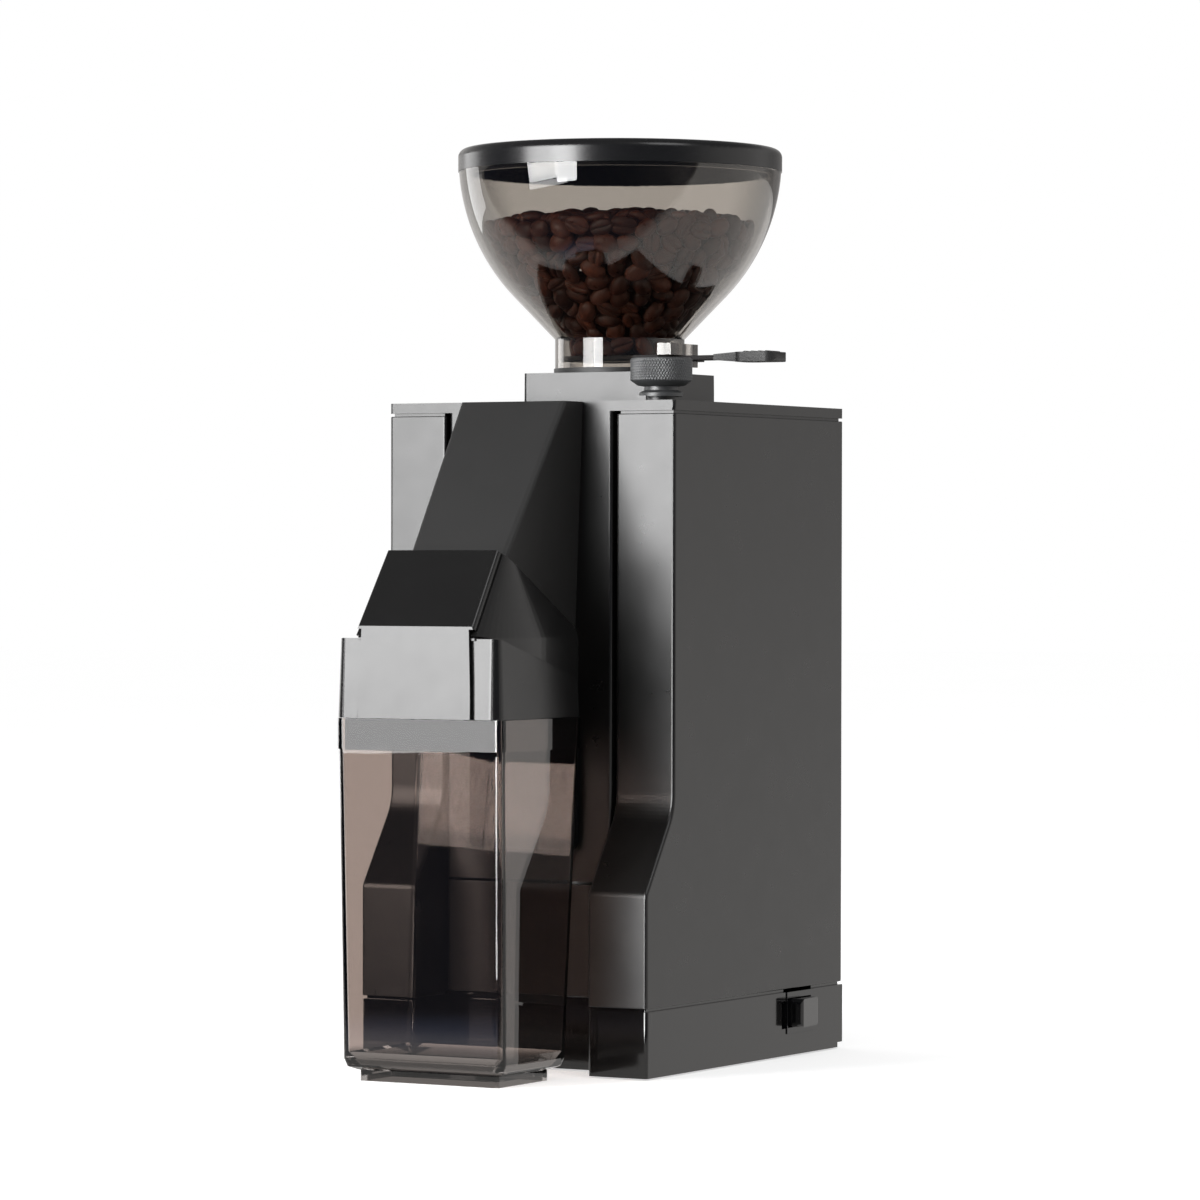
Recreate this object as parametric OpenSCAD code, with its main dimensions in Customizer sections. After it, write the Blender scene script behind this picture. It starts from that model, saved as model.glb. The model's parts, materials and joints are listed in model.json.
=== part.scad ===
// Upright burr coffee grinder: cone of a hopper on a narrow painted body, stepped front legs,
// a sloped spout, and a lidded grounds container standing between the legs.
// Millimetres. X to the right, Y to the back, Z up; the origin is on the table, under the burr axis.

/* [Body] */
// Width over the side panels
body_w = 120; // [112:1:140]
// Depth of the body, without the legs' step
body_d = 132; // [124:1:150]
// Height of the top cover's upper face
body_h = 242.3; // [236:0.5:262]
// Thickness of the top cover's plate
plate_t = 3.7; // [3:0.1:5]
// Thickness of the folded sheet
sheet = 1.2; // [1:0.1:2]
// Shadow gap between the side panels and the top cover
panel_gap = 1.1; // [0.6:0.1:2]
// Width of a side panel's front strip
strip_w = 24.2; // [22:0.2:26]
// Shadow gap between the front strips and the centre column
strip_gap = 1.6; // [1:0.1:2]
// Width of a side panel's return at the rear
rear_return = 12; // [9:0.5:16]

/* [Legs] */
// How far the legs step forward of the body
leg_reach = 20; // [14:0.5:24]
// Height at which a leg's upright front ends
leg_h = 66; // [58:0.5:72]
// Height at which the slope meets the body's front
slope_h = 95.4; // [90:0.5:104]
// Outer radius of the fold above the slope
fold_in_r = 20; // [10:1:30]
// Outer radius of the fold below the slope
fold_out_r = 4; // [3:0.5:7]

/* [Base] */
// Height of the base's top edge
base_h = 24.2; // [23:0.1:27]
// Height of the base's lower edge
base_lift = 2.5; // [2:0.1:4]
// Wall of the base below the side panels
base_wall = 2.5; // [2:0.1:3.5]
// Shadow gap between the base and the side panels
base_gap = 1.2; // [0.8:0.1:2]
// How far the base stands out behind the body
base_proud = 1.2; // [0.5:0.1:2]
// Thickness of the steel bottom plate
bottom_t = 1.9; // [1.2:0.1:2]
// How far the bottom plate is set in at the rear
bottom_set_in = 4.6; // [3:0.1:8]
// Radius of a rubber foot
foot_r = 9; // [6:0.5:11]
// Thickness of a rubber foot
foot_t = 1.6; // [1.4:0.1:2]
// Distance of a foot's middle from the base's side
foot_in = 13; // [11:0.5:18]
// Distance of a foot's middle from the base's front or back
foot_ends = 28; // [20:0.5:34]
// Radius of the mains cord's free bore in the gland
cord_bore_r = 3.5; // [3:0.1:4.5]

/* [Front] */
// Height of the gap below the centre column
column_low = 68.5; // [66:0.5:72]
// Half the width of the start button's plate
start_hw = 21.5; // [16:0.5:25]
// Lower edge of the start button's plate
start_low = 80; // [76:0.5:86]
// Height of the start button's plate
start_len = 62.5; // [54:1:66]
// Thickness of the start button's plate
start_t = 3; // [2:0.1:4]
// Travel of the start button
start_travel = 1.8; // [1:0.1:2.2]

/* [Hopper collar] */
// Side of the square collar
collar_w = 52.8; // [50:0.2:56]
// Height of the collar above the top cover
collar_h = 11.9; // [10:0.1:16]
// Radius of the hopper's spigot
spigot_r = 20.9; // [19:0.1:21.5]
// How deep the spigot goes into the collar
spigot_len = 11; // [8:0.5:12]

/* [Hopper] */
// Outer radius of the neck
neck_r = 24.2; // [23.5:0.1:25.5]
// Thickness of the dark ring below the neck
gasket_t = 2; // [1.5:0.1:3]
// Wall of the hopper
hopper_wall = 2.2; // [1.8:0.1:2.6]
// Outer radius of the rim
rim_r = 60.4; // [56:0.2:66]
// Radius of the bowl's curved side
bowl_r = 75; // [70:0.5:84]
// Height of the rim above the collar's ring
hopper_h = 73.4; // [68:0.2:84]
// Angle of the bowl's straight lower side from the vertical
cone_angle = 43.9; // [42:0.1:46]

/* [Lid] */
// Height of the lid above the rim
lid_h = 8.5; // [6:0.1:10]
// Radius of the lid's upper edge
lid_edge_r = 3; // [1.5:0.1:3.5]
// Depth of the lid's sleeve inside the hopper
lid_sleeve = 1.2; // [1:0.1:6]
// Wall of the lid
lid_wall = 2.4; // [1.8:0.1:3]

/* [Gate] */
// Thickness of the gate's blade
gate_t = 1.6; // [1.2:0.1:2]
// Width of the gate's blade
gate_w = 36; // [30:0.5:38]
// Height of the gate above the collar's ring
gate_up = 2.8; // [2.6:0.1:5.2]
// Width of the gate's handle
handle_w = 14; // [10:0.5:18]
// Reach of the handle's end from the burr axis
gate_reach = 68; // [60:0.5:78]
// Length of the moulded grip
grip_len = 17; // [12:0.5:20]
// Thickness of the moulded grip
grip_t = 3.6; // [3:0.1:5]
// Length of the grip's tapering root
grip_root = 8; // [6:0.5:18]
// Travel of the gate
gate_travel = 41; // [30:0.5:41]

/* [Adjuster] */
// Distance of the adjuster from the body's right side
knob_side = 20; // [18:0.5:24]
// Distance of the adjuster from the body's front
knob_front = 26; // [24:0.5:30]
// Radius of the knurled knob
knob_r = 11.3; // [9:0.1:12]
// Height of the knurled band
knob_h = 8.7; // [7:0.1:10]
// Height of the knob's top above the top cover
knob_top = 16.1; // [15:0.1:18]
// Radius of the adjuster's spindle
spindle_r = 4; // [3:0.1:4.5]

/* [Spout] */
// Slope of the spout's face from the vertical
spout_angle = 34.6; // [32:0.1:37]
// Depth of the spout's top
spout_top_d = 13; // [10:0.5:16]
// Half the spout's width at the top
spout_hw = 22; // [20:0.1:23]
// How much the spout's half width narrows for each millimetre down
spout_taper = 0.0356; // [0.03:0.001:0.05]
// Height at which the spout's face ends
spout_end = 172.2; // [170:0.5:176]
// Height of the spout's lower edge at the column
spout_low = 143.4; // [143:0.2:147]
// Wall of the spout and of the cap's hood
moulded_wall = 1.5; // [1.3:0.1:2]
// Radius of the spout's long edges
spout_edge_r = 2; // [1.5:0.1:4]

/* [Container] */
// Half the container's width at the rim
box_hw = 34.5; // [31:0.1:35]
// Gap between the container's back and the legs' front line
box_back = 0.5; // [0.4:0.1:4]
// Depth of the container at the rim
box_d = 57; // [54:0.5:60]
// Height of the rim
box_h = 128.8; // [124:0.1:129.8]
// Height of the rim's band
band_h = 11; // [8:0.5:14]
// How much the container narrows on each side, from rim to floor
box_taper = 0.9; // [0.5:0.1:2]
// How far the front wall goes back, from rim to floor
front_taper = 2.6; // [1:0.1:4]
// How far the back wall comes forward, from rim to floor
back_taper = 9.7; // [6:0.1:12]
// Radius of the container's upright corners
box_corner = 3; // [2:0.5:6]
// Wall of the container
box_wall = 2; // [1.6:0.1:2.6]
// Gap between the container's rim and the cap
rim_gap = 0.2; // [0.1:0.05:0.5]
// Height of the plinth under the container
plinth_h = 4; // [3:0.5:6]

/* [Container cap] */
// Half the cap's width at its lower edge
cap_hw = 33.8; // [31:0.1:34.5]
// How far the cap stands out of the container's rim, at the front
cap_front = 1.4; // [0.5:0.1:2]
// How far the cap stands out of the container's rim, at the back
cap_rear = 1; // [0:0.1:2]
// Radius of the cap's upright corners
cap_corner = 4; // [3:0.5:6]
// How much each side of the cap leans in, for each millimetre up
cap_draft = 0.035; // [0.02:0.001:0.05]
// Height of the cap's shoulders above the container's rim, at the front
shoulder_rise = 28.6; // [26:0.1:31]
// Height of the cap's shoulders above the container's rim, at the back
shoulder_back_rise = 12.6; // [10:0.1:13]
// Half the hood's width at the top
hood_hw = 23.2; // [22.8:0.1:24]
// How much the hood's half width grows for each millimetre down
hood_flare = 0.03; // [0.02:0.001:0.035]
// Half the width of the hood's upright front, at its foot
hood_foot_hw = 23.4; // [22.6:0.1:24]
// How much the upright front's half width narrows for each millimetre up
hood_lean = 0.043; // [0.03:0.001:0.05]
// Height of the hood's upper front edge
hood_h = 188.2; // [184:0.2:194]
// Height at which the hood's slope meets its upright front
knee_h = 161.5; // [160:0.5:166]
// Gap between the spout's face and the hood's face, along Y
hood_ahead = 11; // [9:0.5:13]
// How far the hood's front stands out of the container's rim
hood_proud = 3; // [2.5:0.1:5]
// Radius of the hood's sloping edges
hood_edge_r = 2; // [1:0.1:2.5]
// How far the cheeks stand out of the hood's sides, at its face
cheek_t = 0.5; // [0.3:0.1:1.5]
// How far the cheeks stay behind the hood's face
cheek_back = 2.4; // [1.5:0.1:4]
// Length over which the cheeks' foot widens to the cap's sides
cheek_sweep = 36; // [24:1:45]
// Height of the groove between the cheeks and the shoulders
cheek_groove = 0.8; // [0.5:0.1:1.5]
// Depth of the sleeve inside the container's rim
sleeve_len = 11.5; // [8:0.5:14]
// How far the sleeve reaches up inside the cap
sleeve_up = 6; // [4:0.5:7]
// Wall of the sleeve
sleeve_wall = 1.6; // [1.2:0.1:2]

/* [Burrs] */
// Outer radius of the burrs
burr_r = 25; // [23:0.5:26]
// Inner radius of the burrs
burr_bore_r = 14; // [13:0.5:16]
// Thickness of a burr
burr_t = 7; // [6:0.5:8]
// Gap between the burrs
burr_gap = 0.8; // [0.7:0.1:1.4]
// Cutting grooves of a burr
burr_teeth = 24; // [16:1:30]
// Height of the upper burr's carrier
carrier_h = 12; // [10:0.5:14]
// Wall of the grinding housing
housing_wall = 5; // [4:0.5:6]
// Half the width of the outlet's passage
outlet_hw = 10.5; // [8:0.5:12]
// Height of the outlet's passage
outlet_h = 15; // [12:0.5:16]
// How far the outlet duct stands out of the column
duct_out = 6; // [4:0.5:8]

/* [Motor] */
// Outer radius of the motor
motor_r = 44; // [40:0.5:46]
// Height of the stator's core
stator_h = 62; // [50:1:66]
// Outer radius of the rotor's core
rotor_r = 23; // [18:0.5:26]
// Radius of the shaft
shaft_r = 5; // [4:0.5:6]
// Outer radius of a ball bearing
bearing_r = 13; // [11:0.5:14]
// Width of a ball bearing
bearing_w = 8; // [6:0.5:9]
// Radius of the capacitor
capacitor_r = 13; // [10:0.5:13]
// Height of the capacitor
capacitor_h = 71.5; // [60:0.5:75]
// Height of the clip round the capacitor
clip_h = 10; // [6:0.5:14]
// Length of the terminal block
terminal_len = 30; // [24:0.5:36]
// Depth of the terminal block
terminal_depth = 15; // [12:0.5:18]
// Height of the terminal block
terminal_h = 13; // [10:0.5:16]

/* [Switch] */
// Distance of the switch's middle from the body's middle
switch_y = 31.8; // [20:0.1:36]
// Length of the switch's bezel
bezel_len = 22; // [20:0.5:26]
// Height of the switch's bezel
bezel_h = 15.5; // [14:0.1:16]
// Length of the rocker
rocker_len = 15.6; // [13:0.1:16]
// Height of the rocker
rocker_h = 10.5; // [9:0.1:11]
// How far the rocker stands out at its front end
rocker_out = 5.8; // [4:0.1:7]

/* [Fits] */
// Radial clearance of a turning shaft or a close slide
run_fit = 0.05; // [0.02:0.01:0.09]
// Clearance between pieces that lift off or slide freely
free_fit = 0.3; // [0.3:0.05:0.5]
// Clearance between fixed pieces
fixed_fit = 0.1; // [0.05:0.01:0.2]

/* [Hidden] */

$fn = 96;
paint = [0.24, 0.24, 0.25];
gloss = [0.08, 0.08, 0.09];
plastic = [0.13, 0.13, 0.13];
smoke = [0.45, 0.4, 0.36, 0.5];
steel = [0.7, 0.7, 0.72];
alloy = [0.62, 0.63, 0.65];
copper = [0.72, 0.42, 0.22];
rubber = [0.06, 0.06, 0.06];
brass = [0.76, 0.62, 0.3];

eps = 0.01;
over = 1;
hw = body_w / 2;
front = -body_d / 2;
back = body_d / 2;
plate_z = body_h - plate_t;
panel_top = plate_z - panel_gap;
panel_low = base_h + base_gap;
strip_x = hw - strip_w;
column_hw = strip_x - strip_gap;
leg_front = front - leg_reach;
slope = atan2(leg_reach, slope_h - leg_h);
slope_len = norm([leg_reach, slope_h - leg_h]);
return_d = 10;
upper_burr_z = plate_z - carrier_h - burr_t;
lower_burr_z = upper_burr_z - burr_gap - burr_t;
disc_t = 6;
disc_z = lower_burr_z - disc_t;
chamber_r = burr_r + 5;
housing_r = chamber_r + housing_wall;
chamber_z = disc_z - 2;
boss_z = chamber_z - 16;
floor_z = chamber_z - 5;
sleeve_r = bearing_r + 3;
hub_r = shaft_r + 4;
lift_up = 0.5;
lift_down = 1;
sleeve_top = chamber_z - 1;
hub_z = sleeve_top + lift_up + free_fit;
neck_end = front + sheet + 12;
duct_seat = 6;
burr_screw_r = 1.8;
burr_screw_at = (burr_r + burr_bore_r) / 2;
press_gap = 0.02;
stud_r = 1.9;
stud_len = 2.5;

// Extrudes a (Y, Z) profile from x0 to x1
module along_x(x0, x1) {
    translate([x0, 0, 0]) rotate([90, 0, 90]) linear_extrude(x1 - x0) children();
}

// Extrudes an (X, Z) profile from y0 to y1
module along_y(y0, y1) {
    translate([0, y1, 0]) rotate([90, 0, 0]) linear_extrude(y1 - y0) children();
}

// Extrudes an (X, Y) outline from z0 to z1
module along_z(z0, z1) {
    translate([0, 0, z0]) linear_extrude(z1 - z0) children();
}

// A box between two corners
module block(low, high) {
    translate(low) cube(high - low);
}

// A rectangle between two corners, with round corners
module round_rect(x0, y0, x1, y1, r) {
    translate([x0 + r, y0]) square([x1 - x0 - 2 * r, y1 - y0]);
    translate([x0, y0 + r]) square([x1 - x0, y1 - y0 - 2 * r]);
    for (x = [x0 + r, x1 - r], y = [y0 + r, y1 - r])
        translate([x, y]) circle(r, $fn = 32);
}

// An upright ring or tube
module ring(r_out, r_in, z0, z1) {
    along_z(z0, z1) difference() {
        circle(r_out);
        circle(r_in);
    }
}

module rod(r, z0, z1) {
    translate([0, 0, z0]) cylinder(r = r, h = z1 - z0);
}

// Copies the children to four places round the axis
module quarter_turns(first = 0) {
    for (i = [0:3]) rotate([0, 0, first + 90 * i]) children();
}

// ---------- folded side panels ----------

// Bend centres of the panel's front line, in (Y, Z)
fold_out_t = fold_out_r * tan(slope / 2);
fold_in_t = fold_in_r * tan(slope / 2);
fold_out_c = [leg_front + fold_out_r, leg_h - fold_out_t];
fold_in_c = [front - fold_in_r, slope_h + fold_in_t];

// Y of the panel's front line at height z, set in by i
function front_line(z, i) =
    let (out_r = fold_out_r - i, in_r = fold_in_r + i, up = z - fold_out_c.y, down = z - fold_in_c.y)
    up <= 0 ? leg_front + i :
    up <= out_r * sin(slope) ? fold_out_c.x - sqrt(out_r * out_r - up * up) :
    down >= 0 ? front + i :
    down >= -in_r * sin(slope) ? fold_in_c.x + sqrt(in_r * in_r - down * down) :
    fold_out_c.x - out_r / cos(slope) + up * tan(slope);

// Heights at which the folded front changes: both ends, and steps through the two bends
fold_steps = 8;
fold_levels = concat([panel_low],
    [for (k = [0:fold_steps]) fold_out_c.y + fold_out_r * sin(slope) * k / fold_steps],
    [for (k = [fold_steps + 1:-1:0]) fold_in_c.y - (fold_in_r + sheet) * sin(slope) * k / (fold_steps + 1)],
    [panel_top]);

// Plan of the folded panel at height z: rear return, side, front strip, inner return
function panel_plan(z) =
    let (bend = [for (k = [0:4]) 22.5 * k], back_in = back - sheet)
    concat([[hw - rear_return, back_in], [hw - rear_return, back]],
        [for (a = bend) [hw - sheet + sheet * sin(a), back_in + sheet * cos(a)]],
        [for (a = bend) [hw - sheet + sheet * cos(a), front_line(z, sheet * (1 - sin(a)))]],
        [for (a = bend) [strip_x + sheet - sheet * sin(a), front_line(z, sheet * (1 - cos(a)))]],
        [[strip_x, front + return_d], [strip_x + sheet, front + return_d],
            [strip_x + sheet, front_line(z, sheet)], [hw - sheet, front_line(z, sheet)],
            [hw - sheet, back_in]]);

// A panel for the right side, lofted through its plans in one folded piece
module side_panel() {
    n = len(panel_plan(panel_low));
    m = len(fold_levels);
    points = [for (z = fold_levels, p = panel_plan(z)) [p.x, p.y, z]];
    walls = [for (j = [0:m - 2], i = [0:n - 1], t = [0, 1]) let (k = (i + 1) % n, a = j * n, b = a + n)
        t == 0 ? [a + i, a + k, b + k] : [a + i, b + k, b + i]];
    ends = [[for (i = [0:n - 1]) n - 1 - i], [for (i = [0:n - 1]) (m - 1) * n + i]];
    polyhedron(points, concat(walls, ends), convexity = 8);
}

module right_side_panel() {
    color(paint) side_panel();
}

module left_side_panel() {
    color(paint) mirror([1, 0, 0]) side_panel();
}

module rear_panel() {
    x = hw - rear_return - fixed_fit;
    color(paint) along_z(panel_low, panel_top) translate([-x, back - sheet]) square([2 * x, sheet]);
}

// ---------- top cover with the centre column, and the plate below it ----------

duct_hw = outlet_hw + moulded_wall;
duct_mid = chamber_z + outlet_h / 2;
duct_low = duct_mid - outlet_h / 2 - moulded_wall;
duct_high = duct_mid + outlet_h / 2 + moulded_wall;
stem_r = 3;
stem_z = [start_low + start_len * 0.3, start_low + start_len * 0.7];
bush_r = spindle_r + 2;
knob_pos = [hw - knob_side, front + knob_front];

// Section of a folded strip between two X values: full sheet, both outer corners round
module strip_section(x0, x1) {
    intersection() {
        translate([x0, 0]) square([x1 - x0, sheet]);
        union() {
            translate([x0 + sheet, 0]) square([x1 - x0 - 2 * sheet, sheet]);
            for (x = [x0 + sheet, x1 - sheet]) translate([x, sheet]) circle(sheet, $fn = 32);
        }
    }
}

// A folded front with short returns behind its edges
module folded_front(half, z0, z1, depth) {
    translate([0, front, 0]) along_z(z0, z1) {
        strip_section(-half, half);
        for (x = [-half, half - sheet]) translate([x, sheet]) square([sheet, depth - sheet]);
    }
}

// Lip below the top cover, just inside the side panels and clear of their returns
module cover_lip() {
    i = sheet + fixed_fit;
    t = 1.2;
    depth = 3;
    open = strip_x + i;
    along_z(panel_top - depth, plate_z + eps) difference() {
        translate([-hw + i, front + i]) square([body_w - 2 * i, body_d - 2 * i]);
        translate([-hw + i + t, front + i + t]) square([body_w - 2 * (i + t), body_d - 2 * (i + t)]);
        translate([-open, front]) square([2 * open, return_d + fixed_fit]);
    }
}

module top_cover() {
    color(paint) difference() {
        union() {
            along_z(plate_z, body_h) round_rect(-hw, front, hw, back, sheet);
            cover_lip();
            folded_front(column_hw, column_low, plate_z, return_d);
        }
        rod(spigot_r + run_fit, plate_z - over, body_h + over);
        translate(knob_pos) rod(bush_r, plate_z - over, body_h + over);
        block([-duct_hw - fixed_fit, front - over, duct_low - fixed_fit],
            [duct_hw + fixed_fit, front + sheet + over, duct_high + fixed_fit]);
        for (z = stem_z) translate([0, 0, z])
            along_y(front - over, front + sheet + over) circle(stem_r + free_fit);
    }
}

module lower_front_plate() {
    gap_above = 1;
    color(paint) folded_front(column_hw, base_h + lip_h + free_fit, column_low - gap_above, 8);
}

// ---------- base ----------

lip_h = base_gap + 1.2;
base_back = back + base_proud;
base_front = leg_front + 0.4;
step_h = 9.5;
boss_r = 5;
screw_r = 1.6;
boss_places = [for (x = [-1, 1], y = [base_front + 12, back - 10]) [x * (hw - 8.5), y]];
switch_low = base_h - bezel_h;
gland_x = -30;
gland_z = 13.5;
gland_r = cord_bore_r + 2.5;
finger_w = 3.7;

// The base's plan, set in by i: body and two legs
module base_plan(i) {
    round_rect(-hw + i, front + i, hw - i, base_back - i, max(sheet - i, 0.4));
    for (x = [-hw, strip_x]) round_rect(x + i, base_front + i, x + strip_w - i, front + 12 - i,
        max(sheet - i, 0.4));
}

module base() {
    lip_in = sheet + fixed_fit;
    inner = base_wall + sheet;
    color(gloss) difference() {
        union() {
            difference() {
                union() {
                    along_z(base_lift, base_h) base_plan(0);
                    along_z(base_h - over, base_h + lip_h) difference() {
                        base_plan(lip_in);
                        translate([-hw, back - lip_in]) square([body_w, sheet * 2]);
                        for (x = [-1, 1]) translate([x * (strip_x + sheet / 2), front + return_d / 2])
                            square([lip_in + fixed_fit, return_d + 2 * fixed_fit], center = true);
                    }
                    block([-strip_x - over, front - 0.6, base_lift], [strip_x + over, front + over, step_h]);
                }
                along_z(base_lift - over, base_h + lip_h + over) base_plan(inner);
            }
            for (p = boss_places) translate(p) rod(boss_r, base_lift, base_h - 4);
        }
        for (p = boss_places) translate(p) rod(screw_r, base_lift - over, base_h - 8);
        // seat of the switch, open at the top, and the finger slot in front of it
        block([hw - inner - over, switch_y - bezel_len / 2 - fixed_fit, switch_low - fixed_fit],
            [hw + over, switch_y + bezel_len / 2 + fixed_fit, base_h + lip_h + over]);
        block([hw - inner - over, switch_y - bezel_len / 2 - finger_w, base_h - 13.5],
            [hw + over, switch_y - bezel_len / 2, base_h - 3.5]);
        translate([gland_x, 0, gland_z]) along_y(back - inner - over, base_back + over) circle(gland_r);
    }
}

vent_rows = 6;
bottom_low = base_lift - bottom_t;

bottom_head_r = screw_r + 1;
head_sink = 0.8;

module bottom_plate() {
    vent = [40, 2.4];
    pitch = 6;
    color(gloss) difference() {
        along_z(bottom_low, base_lift) intersection() {
            base_plan(fixed_fit);
            translate([-hw, leg_front - over])
                square([body_w, base_back - bottom_set_in - leg_front + over]);
        }
        for (p = boss_places) translate(p) {
            rod(screw_r + fixed_fit, bottom_low - over, base_lift + over);
            translate([0, 0, bottom_low - over])
                cylinder(r1 = bottom_head_r + over + fixed_fit, r2 = bottom_head_r + fixed_fit - head_sink,
                    h = over + head_sink);
        }
        for (p = foot_places) translate(p) rod(foot_r + fixed_fit, bottom_low - over, foot_t);
        for (i = [0:vent_rows - 1]) translate([0, (i - (vent_rows - 1) / 2) * pitch])
            along_z(bottom_low - over, base_lift + over) {
                square(vent, center = true);
                for (x = [-1, 1]) translate([x * vent.x / 2, 0]) circle(vent.y / 2, $fn = 24);
            }
    }
}

foot_places = [for (x = [-1, 1], y = [base_front + foot_ends, back - foot_ends]) [x * (hw - foot_in), y]];

module rubber_feet() {
    color(rubber) for (p = foot_places) translate(p) rod(foot_r, 0, foot_t);
}

// Countersunk screws, their heads flush with the bottom plate
module bottom_screws() {
    color(steel) for (p = boss_places) translate(p) difference() {
        union() {
            rod(screw_r - fixed_fit, bottom_low + head_sink - eps, base_h - 10);
            translate([0, 0, bottom_low])
                cylinder(r1 = bottom_head_r, r2 = bottom_head_r - head_sink, h = head_sink);
        }
        block([-bottom_head_r, -0.3, bottom_low - over], [bottom_head_r, 0.3, bottom_low + 0.4]);
    }
}

// ---------- hopper collar, knob pointer, spout ----------

module hopper_collar() {
    c = collar_w / 2;
    draft = 0.5;
    color(paint) difference() {
        intersection() {
            along_z(body_h, body_h + collar_h) round_rect(-c, -c, c, c, 1.5);
            along_y(-c, c) polygon([[-c, body_h], [c, body_h],
                [c - draft, body_h + collar_h], [draft - c, body_h + collar_h]]);
        }
        rod(spigot_r + run_fit, body_h - over, body_h + collar_h + over);
    }
}

module knob_pointer() {
    color(paint) translate(knob_pos) translate([0, -knob_r + 1, 0])
        along_z(body_h, body_h + 2) polygon([[0, 0], [-1.8, -4.5], [1.8, -4.5]]);
}

spout_z = body_h - 0.3;
spout_run = tan(spout_angle);

// Front of the spout's face at height z
function face_y(z) = front - spout_top_d - (spout_z - z) * spout_run;
function spout_half(z) = spout_hw - (spout_z - z) * spout_taper;

// The wedge's side outline, shrunk by t on its closed sides
module spout_outline(t) {
    shift = t / cos(spout_angle);
    end_y = face_y(spout_end);
    // the open end is cut square to the face
    cut_y = end_y + (spout_end - spout_low) / spout_run;
    polygon([[front + (t > 0 ? over : 0), spout_z - t],
        [front - spout_top_d + shift - t * spout_run, spout_z - t],
        [end_y + shift, spout_end],
        t > 0 ? [end_y + shift, spout_low - over] : [min(cut_y, front - over), spout_low],
        [front + (t > 0 ? over : 0), t > 0 ? spout_low - over : spout_low]]);
}

module spout_body() {
    high = spout_z + 12;
    low = spout_low - 14;
    r = spout_edge_r;
    intersection() {
        hull() {
            for (z = [high, low], s = [-1, 1])
                translate([s * (spout_half(z) - r), face_y(z) + r / cos(spout_angle), z])
                    sphere(r, $fn = 24);
            along_y(front - eps, front) polygon([for (p = [[-1, low], [1, low], [1, high], [-1, high]])
                [p.x * spout_half(p.y), p.y]]);
        }
        along_x(-hw, hw) spout_outline(0);
    }
}

module spout() {
    t = moulded_wall;
    z0 = spout_low - 2 * over;
    color(plastic) difference() {
        spout_body();
        intersection() {
            along_x(-hw, hw) spout_outline(t);
            along_y(front - body_d, front + 2 * over) polygon([for (p = [[-1, z0], [1, z0],
                [1, spout_z], [-1, spout_z]]) [p.x * (spout_half(p.y) - t), p.y]]);
        }
    }
}

// ---------- grinding set, from the top cover down ----------

// A flat burr, teeth upwards: a ring with slanting radial grooves and three countersunk holes
module flat_burr() {
    depth = 1.6;
    rim = 2.2;
    difference() {
        ring(burr_r, burr_bore_r, 0, burr_t);
        for (i = [0:burr_teeth - 1]) rotate([0, 0, i * 360 / burr_teeth])
            translate([burr_bore_r - over, 0, burr_t]) rotate([0, 0, 22]) rotate([0, -5, 0])
                rotate([90, 0, 90]) linear_extrude(burr_r - burr_bore_r - rim + 3)
                    polygon([[-1.5, eps], [0.2, -depth], [0.9, eps]]);
        for (i = [0:2]) rotate([0, 0, 120 * i]) translate([burr_screw_at, 0, 0]) {
            rod(burr_screw_r, -over, burr_t + over);
            translate([0, 0, burr_t - 3.2])
                cylinder(r1 = burr_screw_r, r2 = burr_screw_r + 3.2, h = 3.2 + eps);
        }
    }
}

// The three screws of a burr, heads level with the bottom of its grooves
module burr_screws(depth) {
    low = burr_t - 3.2;
    for (i = [0:2]) rotate([0, 0, 120 * i]) translate([burr_screw_at, 0, 0]) {
        rod(burr_screw_r - fixed_fit, -depth, low);
        translate([0, 0, low]) cylinder(r1 = burr_screw_r - fixed_fit, r2 = burr_screw_r + 1.4, h = 1.4);
    }
}

module upper_burr() {
    color(steel) translate([0, 0, upper_burr_z + burr_t]) mirror([0, 0, 1]) flat_burr();
}

module upper_burr_screws() {
    color(steel) translate([0, 0, upper_burr_z + burr_t]) mirror([0, 0, 1]) burr_screws(5);
}

// Carries the upper burr; its throat takes the beans from the collar to the burr's bore
module upper_burr_carrier() {
    z0 = upper_burr_z + burr_t;
    throat = burr_bore_r - 1;
    color(alloy) difference() {
        rod(chamber_r - fixed_fit, z0, plate_z);
        translate([0, 0, z0 + 2]) cylinder(r1 = throat, r2 = spigot_r - 1, h = plate_z - z0 - 2 + eps);
        rod(throat, z0 - over, z0 + 2 + eps);
        for (i = [0:2]) rotate([0, 0, 120 * i]) translate([burr_screw_at, 0, 0])
            rod(burr_screw_r, z0 - over, z0 + 6);
    }
}

// Cast cup round the burrs, with a bearing boss below and an outlet neck to the front
module grinding_housing() {
    color(alloy) difference() {
        union() {
            rod(housing_r, floor_z, plate_z);
            rod(sleeve_r + 5, boss_z, floor_z);
            block([-duct_hw - 2.5, neck_end, duct_low - 2.5], [duct_hw + 2.5, 0, duct_high + 2.5]);
            quarter_turns() translate([motor_r - 5, 0, 0]) rod(6, floor_z, floor_z + 8);
        }
        rod(chamber_r, chamber_z, plate_z + over);
        rod(sleeve_r + run_fit, boss_z - over, chamber_z + over);
        block([-outlet_hw, neck_end - over, duct_low + moulded_wall],
            [outlet_hw, -chamber_r + 6, duct_high - moulded_wall]);
        block([-duct_hw - fixed_fit, neck_end - over, duct_low - fixed_fit],
            [duct_hw + fixed_fit, neck_end + duct_seat, duct_high + fixed_fit]);
        quarter_turns() translate([motor_r - 5, 0, 0])
            rod(stud_r + fixed_fit, floor_z - over, floor_z + stud_len + 0.5);
    }
}

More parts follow.
